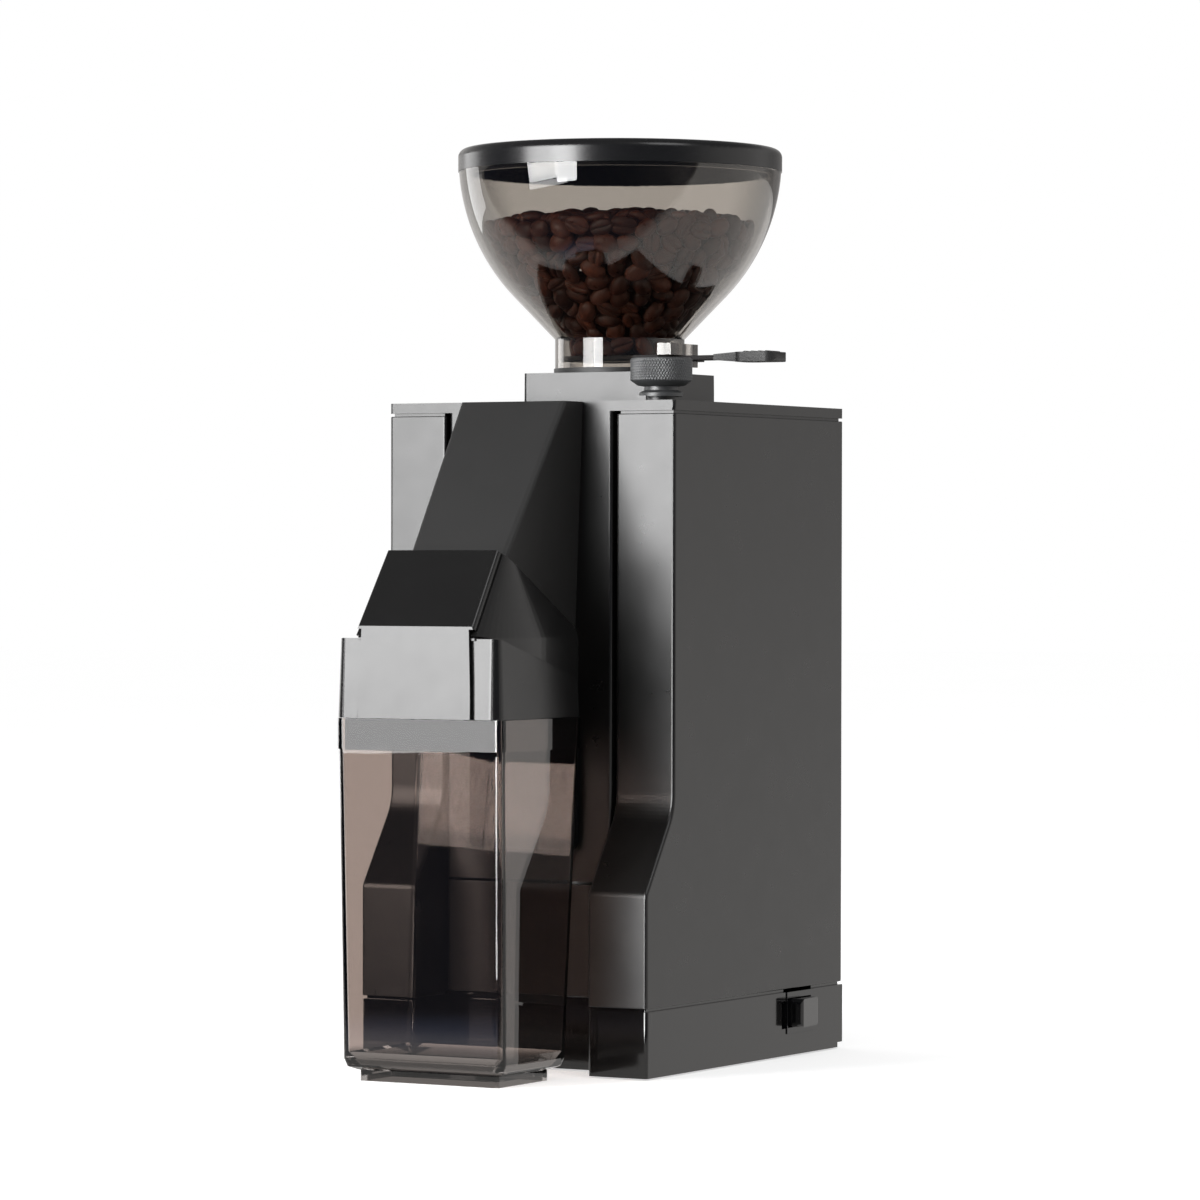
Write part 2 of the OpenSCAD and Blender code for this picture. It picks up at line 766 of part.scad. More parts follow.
// Rectangular outlet through the column into the spout
module outlet_duct() {
    y0 = front - duct_out;
    y1 = neck_end + duct_seat - fixed_fit;
    color(plastic) difference() {
        block([-duct_hw, y0, duct_low], [duct_hw, y1, duct_high]);
        block([-outlet_hw, y0 - over, duct_low + moulded_wall],
            [outlet_hw, y1 + over, duct_high - moulded_wall]);
    }
}

// Slit flexible flap that breaks up clumps at the duct's mouth
module clump_flap() {
    slit = 0.8;
    y1 = front - duct_out;
    color(rubber) difference() {
        block([-outlet_hw - 1, y1 - 0.6, duct_low], [outlet_hw + 1, y1, duct_high]);
        for (x = [-outlet_hw / 2, 0, outlet_hw / 2])
            block([x - slit / 2, y1 - over, duct_low - over], [x + slit / 2, y1 + over, duct_high - 3]);
    }
}

module lower_burr_carrier() {
    fin_count = 3;
    fin_r = chamber_r - 0.8;
    fin_hw = 1.5;
    cone_r = burr_bore_r - 3.5;
    color(alloy) difference() {
        union() {
            rod(burr_r, disc_z, lower_burr_z);
            rod(hub_r, hub_z, disc_z);
            // boss that centres the burr, and the cone that feeds the beans outwards
            rod(burr_bore_r - fixed_fit, lower_burr_z, lower_burr_z + 2);
            translate([0, 0, lower_burr_z + 2]) cylinder(r1 = cone_r, r2 = 3, h = burr_t + 8);
            for (i = [0:fin_count - 1]) rotate([0, 0, i * 360 / fin_count]) {
                block([burr_r - 3, -fin_hw, disc_z], [fin_r, fin_hw, lower_burr_z]);
                block([burr_r + fixed_fit, -fin_hw, lower_burr_z - over], [fin_r, fin_hw, lower_burr_z + 3]);
            }
        }
        rod(shaft_r + press_gap, hub_z - over, lower_burr_z + 4);
        for (i = [0:2]) rotate([0, 0, 120 * i]) translate([burr_screw_at, 0, 0])
            rod(burr_screw_r, disc_z - over, lower_burr_z + eps);
    }
}

module lower_burr() {
    color(steel) translate([0, 0, lower_burr_z]) flat_burr();
}

module lower_burr_screws() {
    color(steel) translate([0, 0, lower_burr_z]) burr_screws(5);
}

// ---------- burr lift, motor and electrics ----------

yoke_t = 7;
yoke_top = boss_z - lift_up - free_fit;
yoke_z = yoke_top - yoke_t;
bell_h = 14;
bell_top = yoke_z - lift_down - 1.5;
stator_top = bell_top - bell_h;
stator_z = stator_top - stator_h;
bell_low = stator_z - bell_h;
fan_top = bell_low - 4;
fan_h = 13;
post_at = motor_r - 5;
bell_wall = 3;
bearing_z = sleeve_top - 2 - bearing_w;

// Sliding sleeve that holds the upper bearing and with it the shaft
module bearing_sleeve() {
    color(steel) difference() {
        rod(sleeve_r, yoke_z, sleeve_top);
        rod(bearing_r + press_gap, yoke_z - over, sleeve_top - 2);
        rod(shaft_r + 2, sleeve_top - 3, sleeve_top + over);
    }
}

// Arm from the adjuster's thread to the sleeve
module lift_yoke() {
    eye_r = spindle_r + 4;
    color(alloy) difference() {
        along_z(yoke_z, yoke_top) hull() {
            circle(sleeve_r + 5);
            translate(knob_pos) circle(eye_r);
        }
        rod(sleeve_r + press_gap, yoke_z - over, yoke_top + over);
        translate(knob_pos) rod(spindle_r + run_fit, yoke_z - over, yoke_top + over);
    }
}

// A ball bearing: two races with a groove between them
module bearing() {
    groove = 0.8;
    mid = (shaft_r + bearing_r) / 2;
    difference() {
        ring(bearing_r, shaft_r + run_fit, 0, bearing_w);
        for (z = [-over, bearing_w - groove]) ring(mid + 1.5, mid - 1.5, z, z + groove + over);
    }
}

module upper_bearing() {
    color(steel) translate([0, 0, bearing_z]) bearing();
}

module lower_bearing() {
    color(steel) translate([0, 0, bell_low + 3]) bearing();
}

module motor_posts() {
    color(steel) quarter_turns() translate([post_at, 0, 0]) {
        rod(5, bell_top, floor_z);
        rod(stud_r, floor_z, floor_z + stud_len);
    }
}

// Plan of the motor's stack: round, with four ears drilled for the through bolts
module stack_plan() {
    difference() {
        union() {
            circle(motor_r);
            quarter_turns(45) translate([motor_r + 1, 0]) circle(5, $fn = 48);
        }
        quarter_turns(45) translate([motor_r + 2, 0]) circle(2.1, $fn = 24);
    }
}

module motor_upper_bell() {
    color(alloy) difference() {
        along_z(stator_top, bell_top) stack_plan();
        rod(motor_r - bell_wall, stator_top - over, bell_top - bell_wall);
        rod(shaft_r + 6, bell_top - bell_wall - over, bell_top + over);
    }
}

module motor_lower_bell() {
    color(alloy) difference() {
        along_z(bell_low, stator_z) stack_plan();
        difference() {
            rod(motor_r - bell_wall, bell_low + bell_wall, stator_z + over);
            rod(bearing_r + 4, bell_low, stator_z - 1.5);
        }
        rod(bearing_r + run_fit, bell_low - over, stator_z + over);
    }
}

module motor_bolts() {
    color(steel) quarter_turns(45) translate([motor_r + 2, 0, 0]) {
        rod(2, bell_low, bell_top);
        rod(3.6, bell_low - 3, bell_low);
        rod(3.6, bell_top, bell_top + 0.8);
    }
}

module stator_core() {
    slots = 24;
    slot_depth = 9;
    slot_hw = 1.2;
    bore_r = rotor_r + 0.5;
    color(steel) along_z(stator_z, stator_top) difference() {
        stack_plan();
        circle(bore_r);
        for (i = [0:slots - 1]) rotate([0, 0, (i + 0.5) * 360 / slots])
            translate([bore_r - slot_hw, -slot_hw]) square([slot_depth, 2 * slot_hw]);
    }
}

// End turns of the winding, above and below the core
module stator_windings() {
    r_in = rotor_r + 3;
    r_out = motor_r - bell_wall - 2;
    turn_h = bell_h - bell_wall - 2;
    color(copper) for (z = [stator_top, stator_z - turn_h]) translate([0, 0, z])
        rotate_extrude() round_rect(r_in, 0, r_out, turn_h, 2.5);
}

module rotor_core() {
    color(steel) difference() {
        union() {
            rod(rotor_r, stator_z + 2, stator_top - 2);
            rod(rotor_r - 4, stator_top - 2 - eps, stator_top + 3);
        }
        rod(shaft_r + press_gap, stator_z, stator_top + 4);
    }
}

module motor_shaft() {
    color(steel) rod(shaft_r, fan_top - fan_h - 1, lower_burr_z + 3.5);
}

module cooling_fan() {
    blades = 9;
    z0 = fan_top - fan_h;
    color(plastic) difference() {
        union() {
            rod(shaft_r + 4, z0, fan_top);
            rod(motor_r - 10, fan_top - 1.6, fan_top);
            for (i = [0:blades - 1]) rotate([0, 0, i * 360 / blades])
                block([shaft_r + 2, -0.8, z0], [motor_r - 9, 0.8, fan_top]);
        }
        rod(shaft_r + press_gap, z0 - over, fan_top + over);
    }
}

side_room = 7;
rear_room = 11;
capacitor_pos = [sheet + side_room + capacitor_r - hw, back - sheet - rear_room - capacitor_r];
capacitor_top = base_lift + capacitor_h;
clip_z = base_lift + 0.55 * capacitor_h;

module capacitor() {
    tab = [0.8, 6, 7];
    color(alloy) translate(capacitor_pos) {
        rod(capacitor_r, base_lift, capacitor_top);
        for (x = [-4, 4]) translate([x - tab.x / 2, -tab.y / 2, capacitor_top]) cube(tab);
    }
}

module capacitor_clip() {
    half = 5;
    color(steel) translate(capacitor_pos) difference() {
        union() {
            rod(capacitor_r + 1.5, clip_z, clip_z + clip_h);
            block([-half, 0, clip_z], [half, back - sheet - capacitor_pos.y, clip_z + clip_h]);
        }
        rod(capacitor_r + press_gap, clip_z - over, clip_z + clip_h + over);
    }
}

module terminal_block() {
    pitch = terminal_len * 0.3;
    screw_in = 4;
    wire_z = 5;
    half = terminal_len / 2;
    y1 = back - sheet - 6;
    color([0.85, 0.85, 0.82]) translate([4, 0, base_lift]) difference() {
        block([-half, y1 - terminal_depth, 0], [half, y1, terminal_h]);
        for (x = [-pitch, 0, pitch]) translate([x, 0, 0]) {
            translate([0, y1 - terminal_depth / 2, 0]) rod(2, terminal_h - screw_in, terminal_h + over);
            translate([0, 0, wire_z]) along_y(y1 - terminal_depth - over, y1 + over) circle(1.6, $fn = 24);
        }
    }
}

// Bush for the mains cord in the base's rear wall, with a free bore
module cord_gland() {
    inner = base_wall + sheet;
    lip = 2;
    color(rubber) translate([gland_x, 0, gland_z]) difference() {
        union() {
            along_y(base_back - inner, base_back) circle(gland_r - fixed_fit);
            along_y(base_back, base_back + lip) circle(gland_r + 2);
            along_y(base_back - inner - lip, base_back - inner) circle(gland_r + 1.2);
        }
        along_y(base_back - inner - lip - over, base_back + lip + over) circle(cord_bore_r);
    }
}

// ---------- adjuster ----------

knob_high = body_h + knob_top;
bush_low = plate_z - 8;

module spindle_bush() {
    color(brass) translate(knob_pos) difference() {
        union() {
            rod(bush_r - press_gap, bush_low, body_h + 0.2);
            rod(bush_r + 2.5, bush_low, plate_z);
        }
        rod(spindle_r + run_fit, bush_low - over, body_h + over);
    }
}

module adjust_spindle() {
    collar_t = 1.6;
    z1 = bush_low - free_fit;
    color(steel) translate(knob_pos) {
        rod(spindle_r, yoke_z - 4, knob_high - 2.3);
        rod(spindle_r + 3, z1 - collar_t, z1);
    }
}

// Knurled band over a chamfer, a waist, a scale flange and a stem
module adjust_knob() {
    band_low = knob_high - knob_h;
    stem_low = body_h + 0.5;
    flange_low = body_h + 2;
    flange_r = knob_r - 3.3;
    waist_r = spindle_r + 2;
    edge = 0.7;
    color([0.3, 0.3, 0.31]) translate(knob_pos) rotate_extrude() difference() {
        polygon([[0, stem_low], [waist_r - 0.8, stem_low], [waist_r - 0.8, flange_low],
            [flange_r, flange_low], [flange_r, flange_low + 1.3], [flange_r - 0.8, flange_low + 1.9],
            [waist_r, flange_low + 2.3], [waist_r, band_low - 1.8], [flange_r + 0.6, band_low - 1.4],
            [knob_r, band_low + 0.3], [knob_r, knob_high - edge], [knob_r - edge, knob_high],
            [0, knob_high]]);
        translate([-over, 0]) square([over + spindle_r + press_gap, knob_high - 2]);
    }
}

// ---------- switch and start button ----------

inner_x = hw - base_wall - sheet;
rocker_y = switch_y - 1.3;
switch_z = switch_low + bezel_h / 2;
rocker_pin_x = hw - 2.5;
rocker_pin_r = 1.2;

module switch_housing() {
    swing = 1.4;
    body_x = hw - 18;
    color(plastic) difference() {
        union() {
            block([inner_x - 1.5, switch_y - bezel_len / 2, switch_low],
                [hw + 0.4, switch_y + bezel_len / 2, base_h]);
            block([body_x, switch_y - bezel_len / 2 + 1, switch_low + 1],
                [inner_x - 1, switch_y + bezel_len / 2 - 1, base_h - 1]);
        }
        block([body_x + 5, rocker_y - rocker_len / 2 - swing, switch_z - rocker_h / 2 - free_fit],
            [hw + over, rocker_y + rocker_len / 2 + swing, switch_z + rocker_h / 2 + free_fit]);
        translate([rocker_pin_x, rocker_y, 0])
            rod(rocker_pin_r + run_fit, switch_z - rocker_h / 2 - 1.6, switch_z + rocker_h / 2 + 1.6);
    }
}

module power_rocker() {
    fall = 1.4;
    r = 1;
    half = rocker_len / 2 - r;
    color(plastic) translate([0, rocker_y, 0]) {
        intersection() {
            along_z(switch_z - rocker_h / 2, switch_z + rocker_h / 2) hull() {
                translate([hw + rocker_out - r, -half]) circle(r, $fn = 32);
                translate([hw + rocker_out - fall - r, half]) circle(r, $fn = 32);
                for (y = [-half, half]) translate([hw - 5, y]) circle(r, $fn = 32);
            }
            along_x(hw - 8, hw + rocker_out + over)
                round_rect(-rocker_len / 2, switch_z - rocker_h / 2,
                    rocker_len / 2, switch_z + rocker_h / 2, 2);
        }
        translate([rocker_pin_x, 0, 0])
            rod(rocker_pin_r, switch_z - rocker_h / 2 - 1.4, switch_z + rocker_h / 2 + 1.4);
    }
}

start_gap = start_travel + free_fit;
stem_end = front + sheet + 4;
guide_d = 16;
guide_back = front + sheet + guide_d;

// Plate behind the container, on two stems that pass through the column
module start_button() {
    flange_y = front + sheet + free_fit;
    color(plastic) {
        along_y(front - start_gap - start_t, front - start_gap)
            round_rect(-start_hw, start_low, start_hw, start_low + start_len, 2.5);
        for (z = stem_z) translate([0, 0, z]) {
            along_y(front - start_gap, stem_end) circle(stem_r);
            along_y(flange_y, flange_y + 1.2) circle(stem_r + 1.5);
        }
    }
}

module start_guide() {
    x = 9;
    t = 2;
    z0 = stem_z[0] - 8;
    z1 = stem_z[1] + 8;
    color(plastic) difference() {
        block([-x, front + sheet, z0], [x, guide_back, z1]);
        block([t - x, front + sheet - over, z0 + t], [x - t, guide_back - t, z1 - t]);
    }
}

module start_microswitch() {
    y0 = stem_end + start_travel + free_fit;
    y1 = guide_back - 2;
    color(rubber) translate([0, 0, stem_z[0]]) {
        block([-3.2, y0, -5], [3.2, y1, 5]);
        for (z = [-3, 3]) block([3, y1 - 4, z - 0.4], [7, y1 - 1, z + 0.4]);
    }
}

// ---------- hopper, gate and lid ----------

collar_top = body_h + collar_h;
neck_z = collar_top + gasket_t;
rim_z = neck_z + hopper_h;
bowl_up = 5.4;
bowl_c = [rim_r - bowl_r, rim_z + bowl_up];
gate_z = neck_z + gate_up;

// Half section of the hopper's outside, shrunk by t
module bowl_section(t, z_low) {
    tangent = bowl_c + (bowl_r - t) * [cos(cone_angle), -sin(cone_angle)];
    cone_z = tangent.y - (tangent.x - neck_r + t) / tan(cone_angle);
    polygon([[0, z_low], [neck_r - t, z_low], [neck_r - t, cone_z], tangent, [0, tangent.y]]);
    intersection() {
        translate(bowl_c) circle(bowl_r - t, $fn = 240);
        translate([0, tangent.y - eps]) square([rim_r, rim_z + (t > 0 ? over : 0) - tangent.y + eps]);
    }
}

module hopper() {
    floor_t = 2;
    color(smoke) difference() {
        rotate_extrude() difference() {
            union() {
                bowl_section(0, neck_z);
                translate([0, collar_top - spigot_len]) square([spigot_r, spigot_len + gasket_t + eps]);
            }
            bowl_section(hopper_wall, neck_z + floor_t);
            translate([-over, collar_top - spigot_len - over])
                square([spigot_r - hopper_wall + over, spigot_len + 3 * floor_t]);
        }
        block([0, -gate_w / 2 - free_fit, gate_z - free_fit],
            [neck_r + over, gate_w / 2 + free_fit, gate_z + gate_t + free_fit]);
    }
}

module hopper_ring() {
    color(rubber) ring(neck_r + 0.4, spigot_r + fixed_fit, collar_top, neck_z);
}

module gate_blade() {
    end_x = gate_reach - grip_len;
    wide_x = neck_r + 2;
    color(steel) along_z(gate_z, gate_z + gate_t) {
        intersection() {
            circle(neck_r - hopper_wall - free_fit);
            square([2 * neck_r, gate_w], center = true);
        }
        translate([0, -gate_w / 2]) square([wide_x, gate_w]);
        translate([0, 1.5 - handle_w / 2]) square([end_x + 5, handle_w - 3]);
    }
}

module gate_grip() {
    x0 = gate_reach - grip_len;
    mid = gate_z + gate_t / 2;
    low = mid - grip_t / 2;
    high = mid + grip_t / 2;
    rib_r = 0.9;
    root_t = gate_t + 0.6;
    color(rubber) difference() {
        union() {
            along_y(1 - handle_w / 2, handle_w / 2 - 1) polygon([[x0 - grip_root, mid - root_t / 2],
                [x0 + 2, low], [x0 + 2, high], [x0 - grip_root, mid + root_t / 2]]);
            intersection() {
                along_z(low, high) round_rect(x0, -handle_w / 2, gate_reach, handle_w / 2, 4);
                along_y(-handle_w, handle_w) round_rect(x0 - 4, low, gate_reach, high, 1.5);
            }
            for (i = [0:3]) translate([x0 + 4.5 + i * 3, 0, high - 0.5])
                along_y(-handle_w / 2 + 2, handle_w / 2 - 2) circle(rib_r, $fn = 24);
        }
        block([x0 - grip_root - over, 1.5 - handle_w / 2, gate_z],
            [x0 + 5, handle_w / 2 - 1.5, gate_z + gate_t]);
    }
}

// Pads on the neck that the gate's handle slides between
module gate_guide() {
    half = 10.5;
    reach = neck_r + 3.3;
    color(paint) difference() {
        union() {
            block([neck_r - 5, -half, gate_z + gate_t + free_fit], [reach, half, gate_z + gate_t + 4.6]);
            block([neck_r - 5, -half, gate_z - 2.4], [reach, half, gate_z - free_fit]);
        }
        rod(neck_r + eps, neck_z, rim_z);
        // the upper pad clears the bowl's cone
        translate([0, 0, bowl_c.y - bowl_r * sin(cone_angle)]) mirror([0, 0, 1])
            cylinder(r1 = bowl_c.x + bowl_r * cos(cone_angle) + 0.2, r2 = 0.2,
                h = (bowl_c.x + bowl_r * cos(cone_angle)) / tan(cone_angle));
    }
}

module hopper_lid() {
    seat = rim_z + fixed_fit / 2;
    r = rim_r + 0.1;
    top = rim_z + lid_h;
    low = rim_z - lid_sleeve;
    sleeve_out = bowl_c.x + sqrt(pow(bowl_r - hopper_wall, 2) - pow(bowl_c.y - low, 2)) - free_fit;
    edge_z = top - lid_edge_r;
    color(plastic) rotate_extrude() {
        difference() {
            union() {
                translate([0, seat]) square([r, edge_z - seat]);
                translate([0, edge_z - eps]) square([r - lid_edge_r, lid_edge_r + eps]);
                intersection() {
                    translate([r - lid_edge_r, edge_z]) circle(lid_edge_r, $fn = 48);
                    translate([0, seat]) square([r, top - seat]);
                }
            }
            translate([-over, rim_z - over]) square([sleeve_out - lid_wall + over, lid_h - lid_wall + over]);
        }
        translate([sleeve_out - lid_wall, low]) square([lid_wall, lid_sleeve + fixed_fit]);
    }
}

// ---------- grounds container and its cap ----------

box_front_y = leg_front - box_back - box_d;
box_back_y = leg_front - box_back;
// Inset of the container's sides, of its front and of its back, at height z
function side_in(z) = box_taper * (box_h - z) / box_h;
function front_in(z) = front_taper * (box_h - z) / box_h;
function back_in(z) = back_taper * (box_h - z) / box_h;

// The container's plan at height z, set in by i
module box_plan(z, i) {
    s = side_in(z) + i;
    r = max(box_corner - i, 1);
    round_rect(-box_hw + s, box_front_y + front_in(z) + i, box_hw - s, box_back_y - back_in(z) - i, r);
}

module box_slab(z, i) {
    translate([0, 0, z]) linear_extrude(eps) box_plan(z, i);
}

module grounds_container() {
    round_r = 4;
    floor_z = plinth_h + 2.5;
    band_low = box_h - band_h;
    color(smoke) difference() {
        union() {
            hull() {
                box_slab(band_low + eps, 0.4);
                box_slab(plinth_h + round_r, 0.4);
                box_slab(plinth_h + 0.3 * round_r, 0.4 + 0.3 * round_r);
                box_slab(plinth_h, 0.4 + round_r);
            }
            along_z(band_low, box_h) box_plan(box_h, 0);
            along_z(0, plinth_h + eps) box_plan(0, round_r + 1);
        }
        hull() {
            box_slab(box_h + over, box_wall);
            box_slab(floor_z + round_r, box_wall + 0.4);
            box_slab(floor_z, box_wall + round_r);
        }
        along_z(-over, plinth_h / 2) box_plan(0, round_r + 3);
    }
}

hood_z = box_h + rim_gap;
shoulder_h = box_h + shoulder_rise;
shoulder_back_h = box_h + shoulder_back_rise;
hood_face_y = face_y(hood_h) - hood_ahead;
knee_y = hood_face_y - (hood_h - knee_h) * spout_run;
hood_foot_y = box_front_y - hood_proud;
hood_back_y = box_back_y;
cheek_in = 0.6;
groove_in = 0.7;
knee_lap = 1;
function hood_half(z) = hood_hw + (hood_h - z) * hood_flare;
function upright_half(z) = hood_foot_hw - (z - hood_z) * hood_lean;

// Side outline of the hood: upright front, knee, slope, and an end cut square to the slope
module hood_outline() {
    end_z = hood_h - (hood_back_y - hood_face_y) * spout_run;
    polygon([[hood_foot_y, hood_z], [knee_y, knee_h], [hood_face_y, hood_h],
        [hood_back_y, end_z], [hood_back_y, hood_z]]);
}

// The same inside its wall t, over the container's opening and open to the rear
module hood_hollow(t) {
    shift = t / cos(spout_angle);
    end_z = hood_h + t * spout_run - (hood_back_y + over - hood_face_y) * spout_run;
    polygon([[hood_foot_y + t, hood_z + t], [knee_y + shift, knee_h], [hood_face_y + shift, hood_h],
        [hood_face_y + shift, hood_h + over], [hood_back_y + over, end_z + over + shift],
        [hood_back_y + over, hood_z - over], [box_front_y + t, hood_z - over],
        [box_front_y + t, hood_z + t]]);
}

// Two rounded uprights of the hood's front edge and their plane at the back, between two levels
module hood_shell(levels, r) {
    hull() for (p = levels, s = [-1, 1]) {
        translate([s * (p.x - r), p.y + r, p.z]) sphere(r, $fn = 32);
        translate([s * (p.x - r), hood_back_y, p.z]) sphere(r, $fn = 32);
    }
}

// Upright front, and above its knee the wider sloping part with rounder edges
module hood_body() {
    sharp = 0.5;
    above = 8;
    low = knee_h - knee_lap;
    intersection() {
        union() {
            intersection() {
                hood_shell([[upright_half(hood_z - above), hood_foot_y, hood_z - above],
                    [upright_half(knee_h + above), hood_foot_y, knee_h + above]], sharp);
                block([-hw, hood_foot_y - over, hood_z], [hw, hood_back_y, knee_h]);
            }
            intersection() {
                hood_shell([for (z = [low - above, hood_h + above])
                    [hood_half(z), hood_face_y - (hood_h - z) * spout_run, z]], hood_edge_r);
                block([-hw, hood_foot_y - over, low], [hw, hood_back_y, hood_h]);
            }
        }
        along_x(-hw, hw) hood_outline();
    }
}

// Side outline of the shoulders: level over the front, then falling to the back
module shoulder_outline(t) {
    y0 = box_front_y - cap_front - over;
    y1 = box_back_y + cap_rear + over;
    fall_y = box_front_y + 3;
    polygon([[y0, hood_z - over], [y0, shoulder_h - t], [fall_y, shoulder_h - 0.6 - t],
        [y1, shoulder_back_h - t], [y1, hood_z - over]]);
}

// The cap's plan at its lower edge, set in by i
module cap_plan(i) {
    round_rect(-cap_hw + i, box_front_y - cap_front + i, cap_hw - i, box_back_y + cap_rear - i,
        max(cap_corner - i, 1));
}

module shoulder_body(i) {
    rise = shoulder_h - hood_z;
    intersection() {
        hull() {
            translate([0, 0, hood_z]) linear_extrude(eps) cap_plan(i);
            translate([0, 0, shoulder_h]) linear_extrude(eps) cap_plan(i + rise * cap_draft);
        }
        along_x(-hw, hw) shoulder_outline(i);
    }
}

// The cheeks' plan at height z, set in by i: from the hood's sides out to the cap's, on a curve
module cheek_plan(z, i) {
    from_a = 60;
    steps = 12;
    drop = (hood_h - z) / (hood_h - shoulder_h);
    half = hood_half(z) + cheek_t - i;
    grow = (0.1 + 0.9 * drop) * (cap_hw - (shoulder_h - hood_z) * cap_draft - cheek_in - half - i);
    sweep = (0.1 + 0.9 * drop) * cheek_sweep;
    y0 = hood_face_y + cheek_back / cos(spout_angle) - (hood_h - z) * spout_run + i;
    side = [for (k = [0:steps]) let (a = from_a + (90 - from_a) * k / steps)
        [half + grow * (sin(a) - sin(from_a)) / (1 - sin(from_a)), y0 + sweep * (1 - cos(a) / cos(from_a))]];
    out = side[steps].x;
    polygon(concat(side, [[out, hood_back_y + i], [-out, hood_back_y + i]],
        [for (k = [steps:-1:0]) [-side[k].x, side[k].y]]));
}

module cheek_form(i) {
    hull() {
        translate([0, 0, hood_h]) linear_extrude(eps) cheek_plan(hood_h, i);
        for (z = [shoulder_h, hood_z]) translate([0, 0, z]) linear_extrude(eps) cheek_plan(shoulder_h, i);
    }
}

// Everything higher than the shoulders' top line by lift, under the hood's cut end
module above_shoulders(lift) {
    y0 = box_front_y - cap_front;
    along_x(-hw, hw) intersection() {
        hood_outline();
        polygon([[y0, shoulder_h + lift], [box_front_y + 3, shoulder_h + lift - 0.6],
            [hood_back_y, shoulder_back_h + lift], [hood_back_y, hood_h], [y0, hood_h]]);
    }
}

// Cheeks that fair the hood into the cap's sides, with a groove along their foot
module cheeks() {
    intersection() {
        above_shoulders(cheek_groove);
        cheek_form(0);
    }
    intersection() {
        above_shoulders(-moulded_wall / 2);
        cheek_form(groove_in);
    }
}

// Front view of the hood's inside, with walls t
module hood_opening(t) {
    z = [hood_z - over, knee_h - knee_lap + t, hood_h + 2 * over];
    right = [[upright_half(z[0]) - t, z[0]], [upright_half(z[1]) - t, z[1]],
        [hood_half(z[1]) - t, z[1]], [hood_half(z[2]) - t, z[2]]];
    polygon(concat(right, [for (k = [3:-1:0]) [-right[k].x, right[k].y]]));
}

module container_cap() {
    t = moulded_wall;
    color(plastic) difference() {
        union() {
            shoulder_body(0);
            hood_body();
            cheeks();
        }
        shoulder_body(t);
        // inside of the hood and of the cheeks, open to the rear above the shoulders' rear wall
        difference() {
            intersection() {
                along_x(-hw, hw) hood_hollow(t);
                union() {
                    cheek_form(groove_in + t);
                    along_y(hood_foot_y - over, hood_back_y + 2 * over) hood_opening(t);
                }
            }
            block([-hw, box_back_y + cap_rear - t, hood_z - 2 * over], [hw, back, shoulder_back_h - t]);
        }
    }
}

// Sleeve of the cap that goes down inside the container's rim, with two ribs on its front
module cap_sleeve() {
    i = max(box_wall + free_fit, box_hw - cap_hw + moulded_wall + sleeve_up * cap_draft + fixed_fit);
    z0 = hood_z - sleeve_len;
    z1 = hood_z + sleeve_up;
    rib_x = hood_hw - 2;
    rib = [1.4, 0.2];
    color(gloss) {
        along_z(z0, z1) difference() {
            box_plan(z0, i);
            box_plan(z0, i + sleeve_wall);
        }
        for (x = [-rib_x, rib_x]) translate([x, box_front_y + i + front_in(z0), 0])
            block([-rib.x / 2, -rib.y, z0], [rib.x / 2, eps, z1]);
    }
}

// ---------- shown nodes ----------

base();
bottom_plate();
rubber_feet();
left_side_panel();
right_side_panel();
rear_panel();
top_cover();
lower_front_plate();
hopper_collar();
spout();
outlet_duct();
clump_flap();
grinding_housing();
upper_burr_carrier();
upper_burr();
upper_burr_screws();
motor_posts();
motor_upper_bell();
stator_core();
stator_windings();
motor_lower_bell();
motor_bolts();
spindle_bush();
knob_pointer();
capacitor();
capacitor_clip();
terminal_block();
cord_gland();
bottom_screws();
switch_housing();
start_guide();
start_microswitch();
bearing_sleeve();
lift_yoke();
upper_bearing();
lower_bearing();
motor_shaft();
rotor_core();
lower_burr_carrier();
lower_burr();
lower_burr_screws();
cooling_fan();
adjust_knob();
adjust_spindle();
power_rocker();
start_button();
hopper();
hopper_ring();
gate_guide();
gate_blade();
gate_grip();
hopper_lid();
grounds_container();
container_cap();
cap_sleeve();
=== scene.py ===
"""Looks of an upright burr coffee grinder: materials, small pieces, floor, lights and camera."""

import json
import math

import bmesh
import bpy
import numpy as np
from mathutils import Matrix, Vector


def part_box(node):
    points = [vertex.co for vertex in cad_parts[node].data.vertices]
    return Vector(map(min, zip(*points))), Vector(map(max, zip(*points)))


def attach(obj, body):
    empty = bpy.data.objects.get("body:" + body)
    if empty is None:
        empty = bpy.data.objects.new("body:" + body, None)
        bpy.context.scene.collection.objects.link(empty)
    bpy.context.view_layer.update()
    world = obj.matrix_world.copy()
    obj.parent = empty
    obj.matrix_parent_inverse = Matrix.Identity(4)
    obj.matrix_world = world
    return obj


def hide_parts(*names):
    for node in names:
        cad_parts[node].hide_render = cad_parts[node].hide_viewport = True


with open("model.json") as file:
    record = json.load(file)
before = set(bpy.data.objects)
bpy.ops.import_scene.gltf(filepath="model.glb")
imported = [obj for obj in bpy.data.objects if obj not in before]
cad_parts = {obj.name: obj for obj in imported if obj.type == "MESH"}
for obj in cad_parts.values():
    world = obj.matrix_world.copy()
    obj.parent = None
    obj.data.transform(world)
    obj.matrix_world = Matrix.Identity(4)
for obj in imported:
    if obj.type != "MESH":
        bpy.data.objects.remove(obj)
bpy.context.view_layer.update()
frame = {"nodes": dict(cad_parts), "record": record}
nodes = frame["nodes"]
scene = bpy.context.scene
MM = 0.001
FULL_TURN = 2 * math.pi


# ---------- camera ----------

LENS, SENSOR = 161.69, 36  # mm
CAMERA_PLACE = (0.99199, -1.75399, 0.18477)
CAMERA_YAW, CAMERA_PITCH, CAMERA_ROLL = 29.696, -0.4225, 0.1145  # degrees


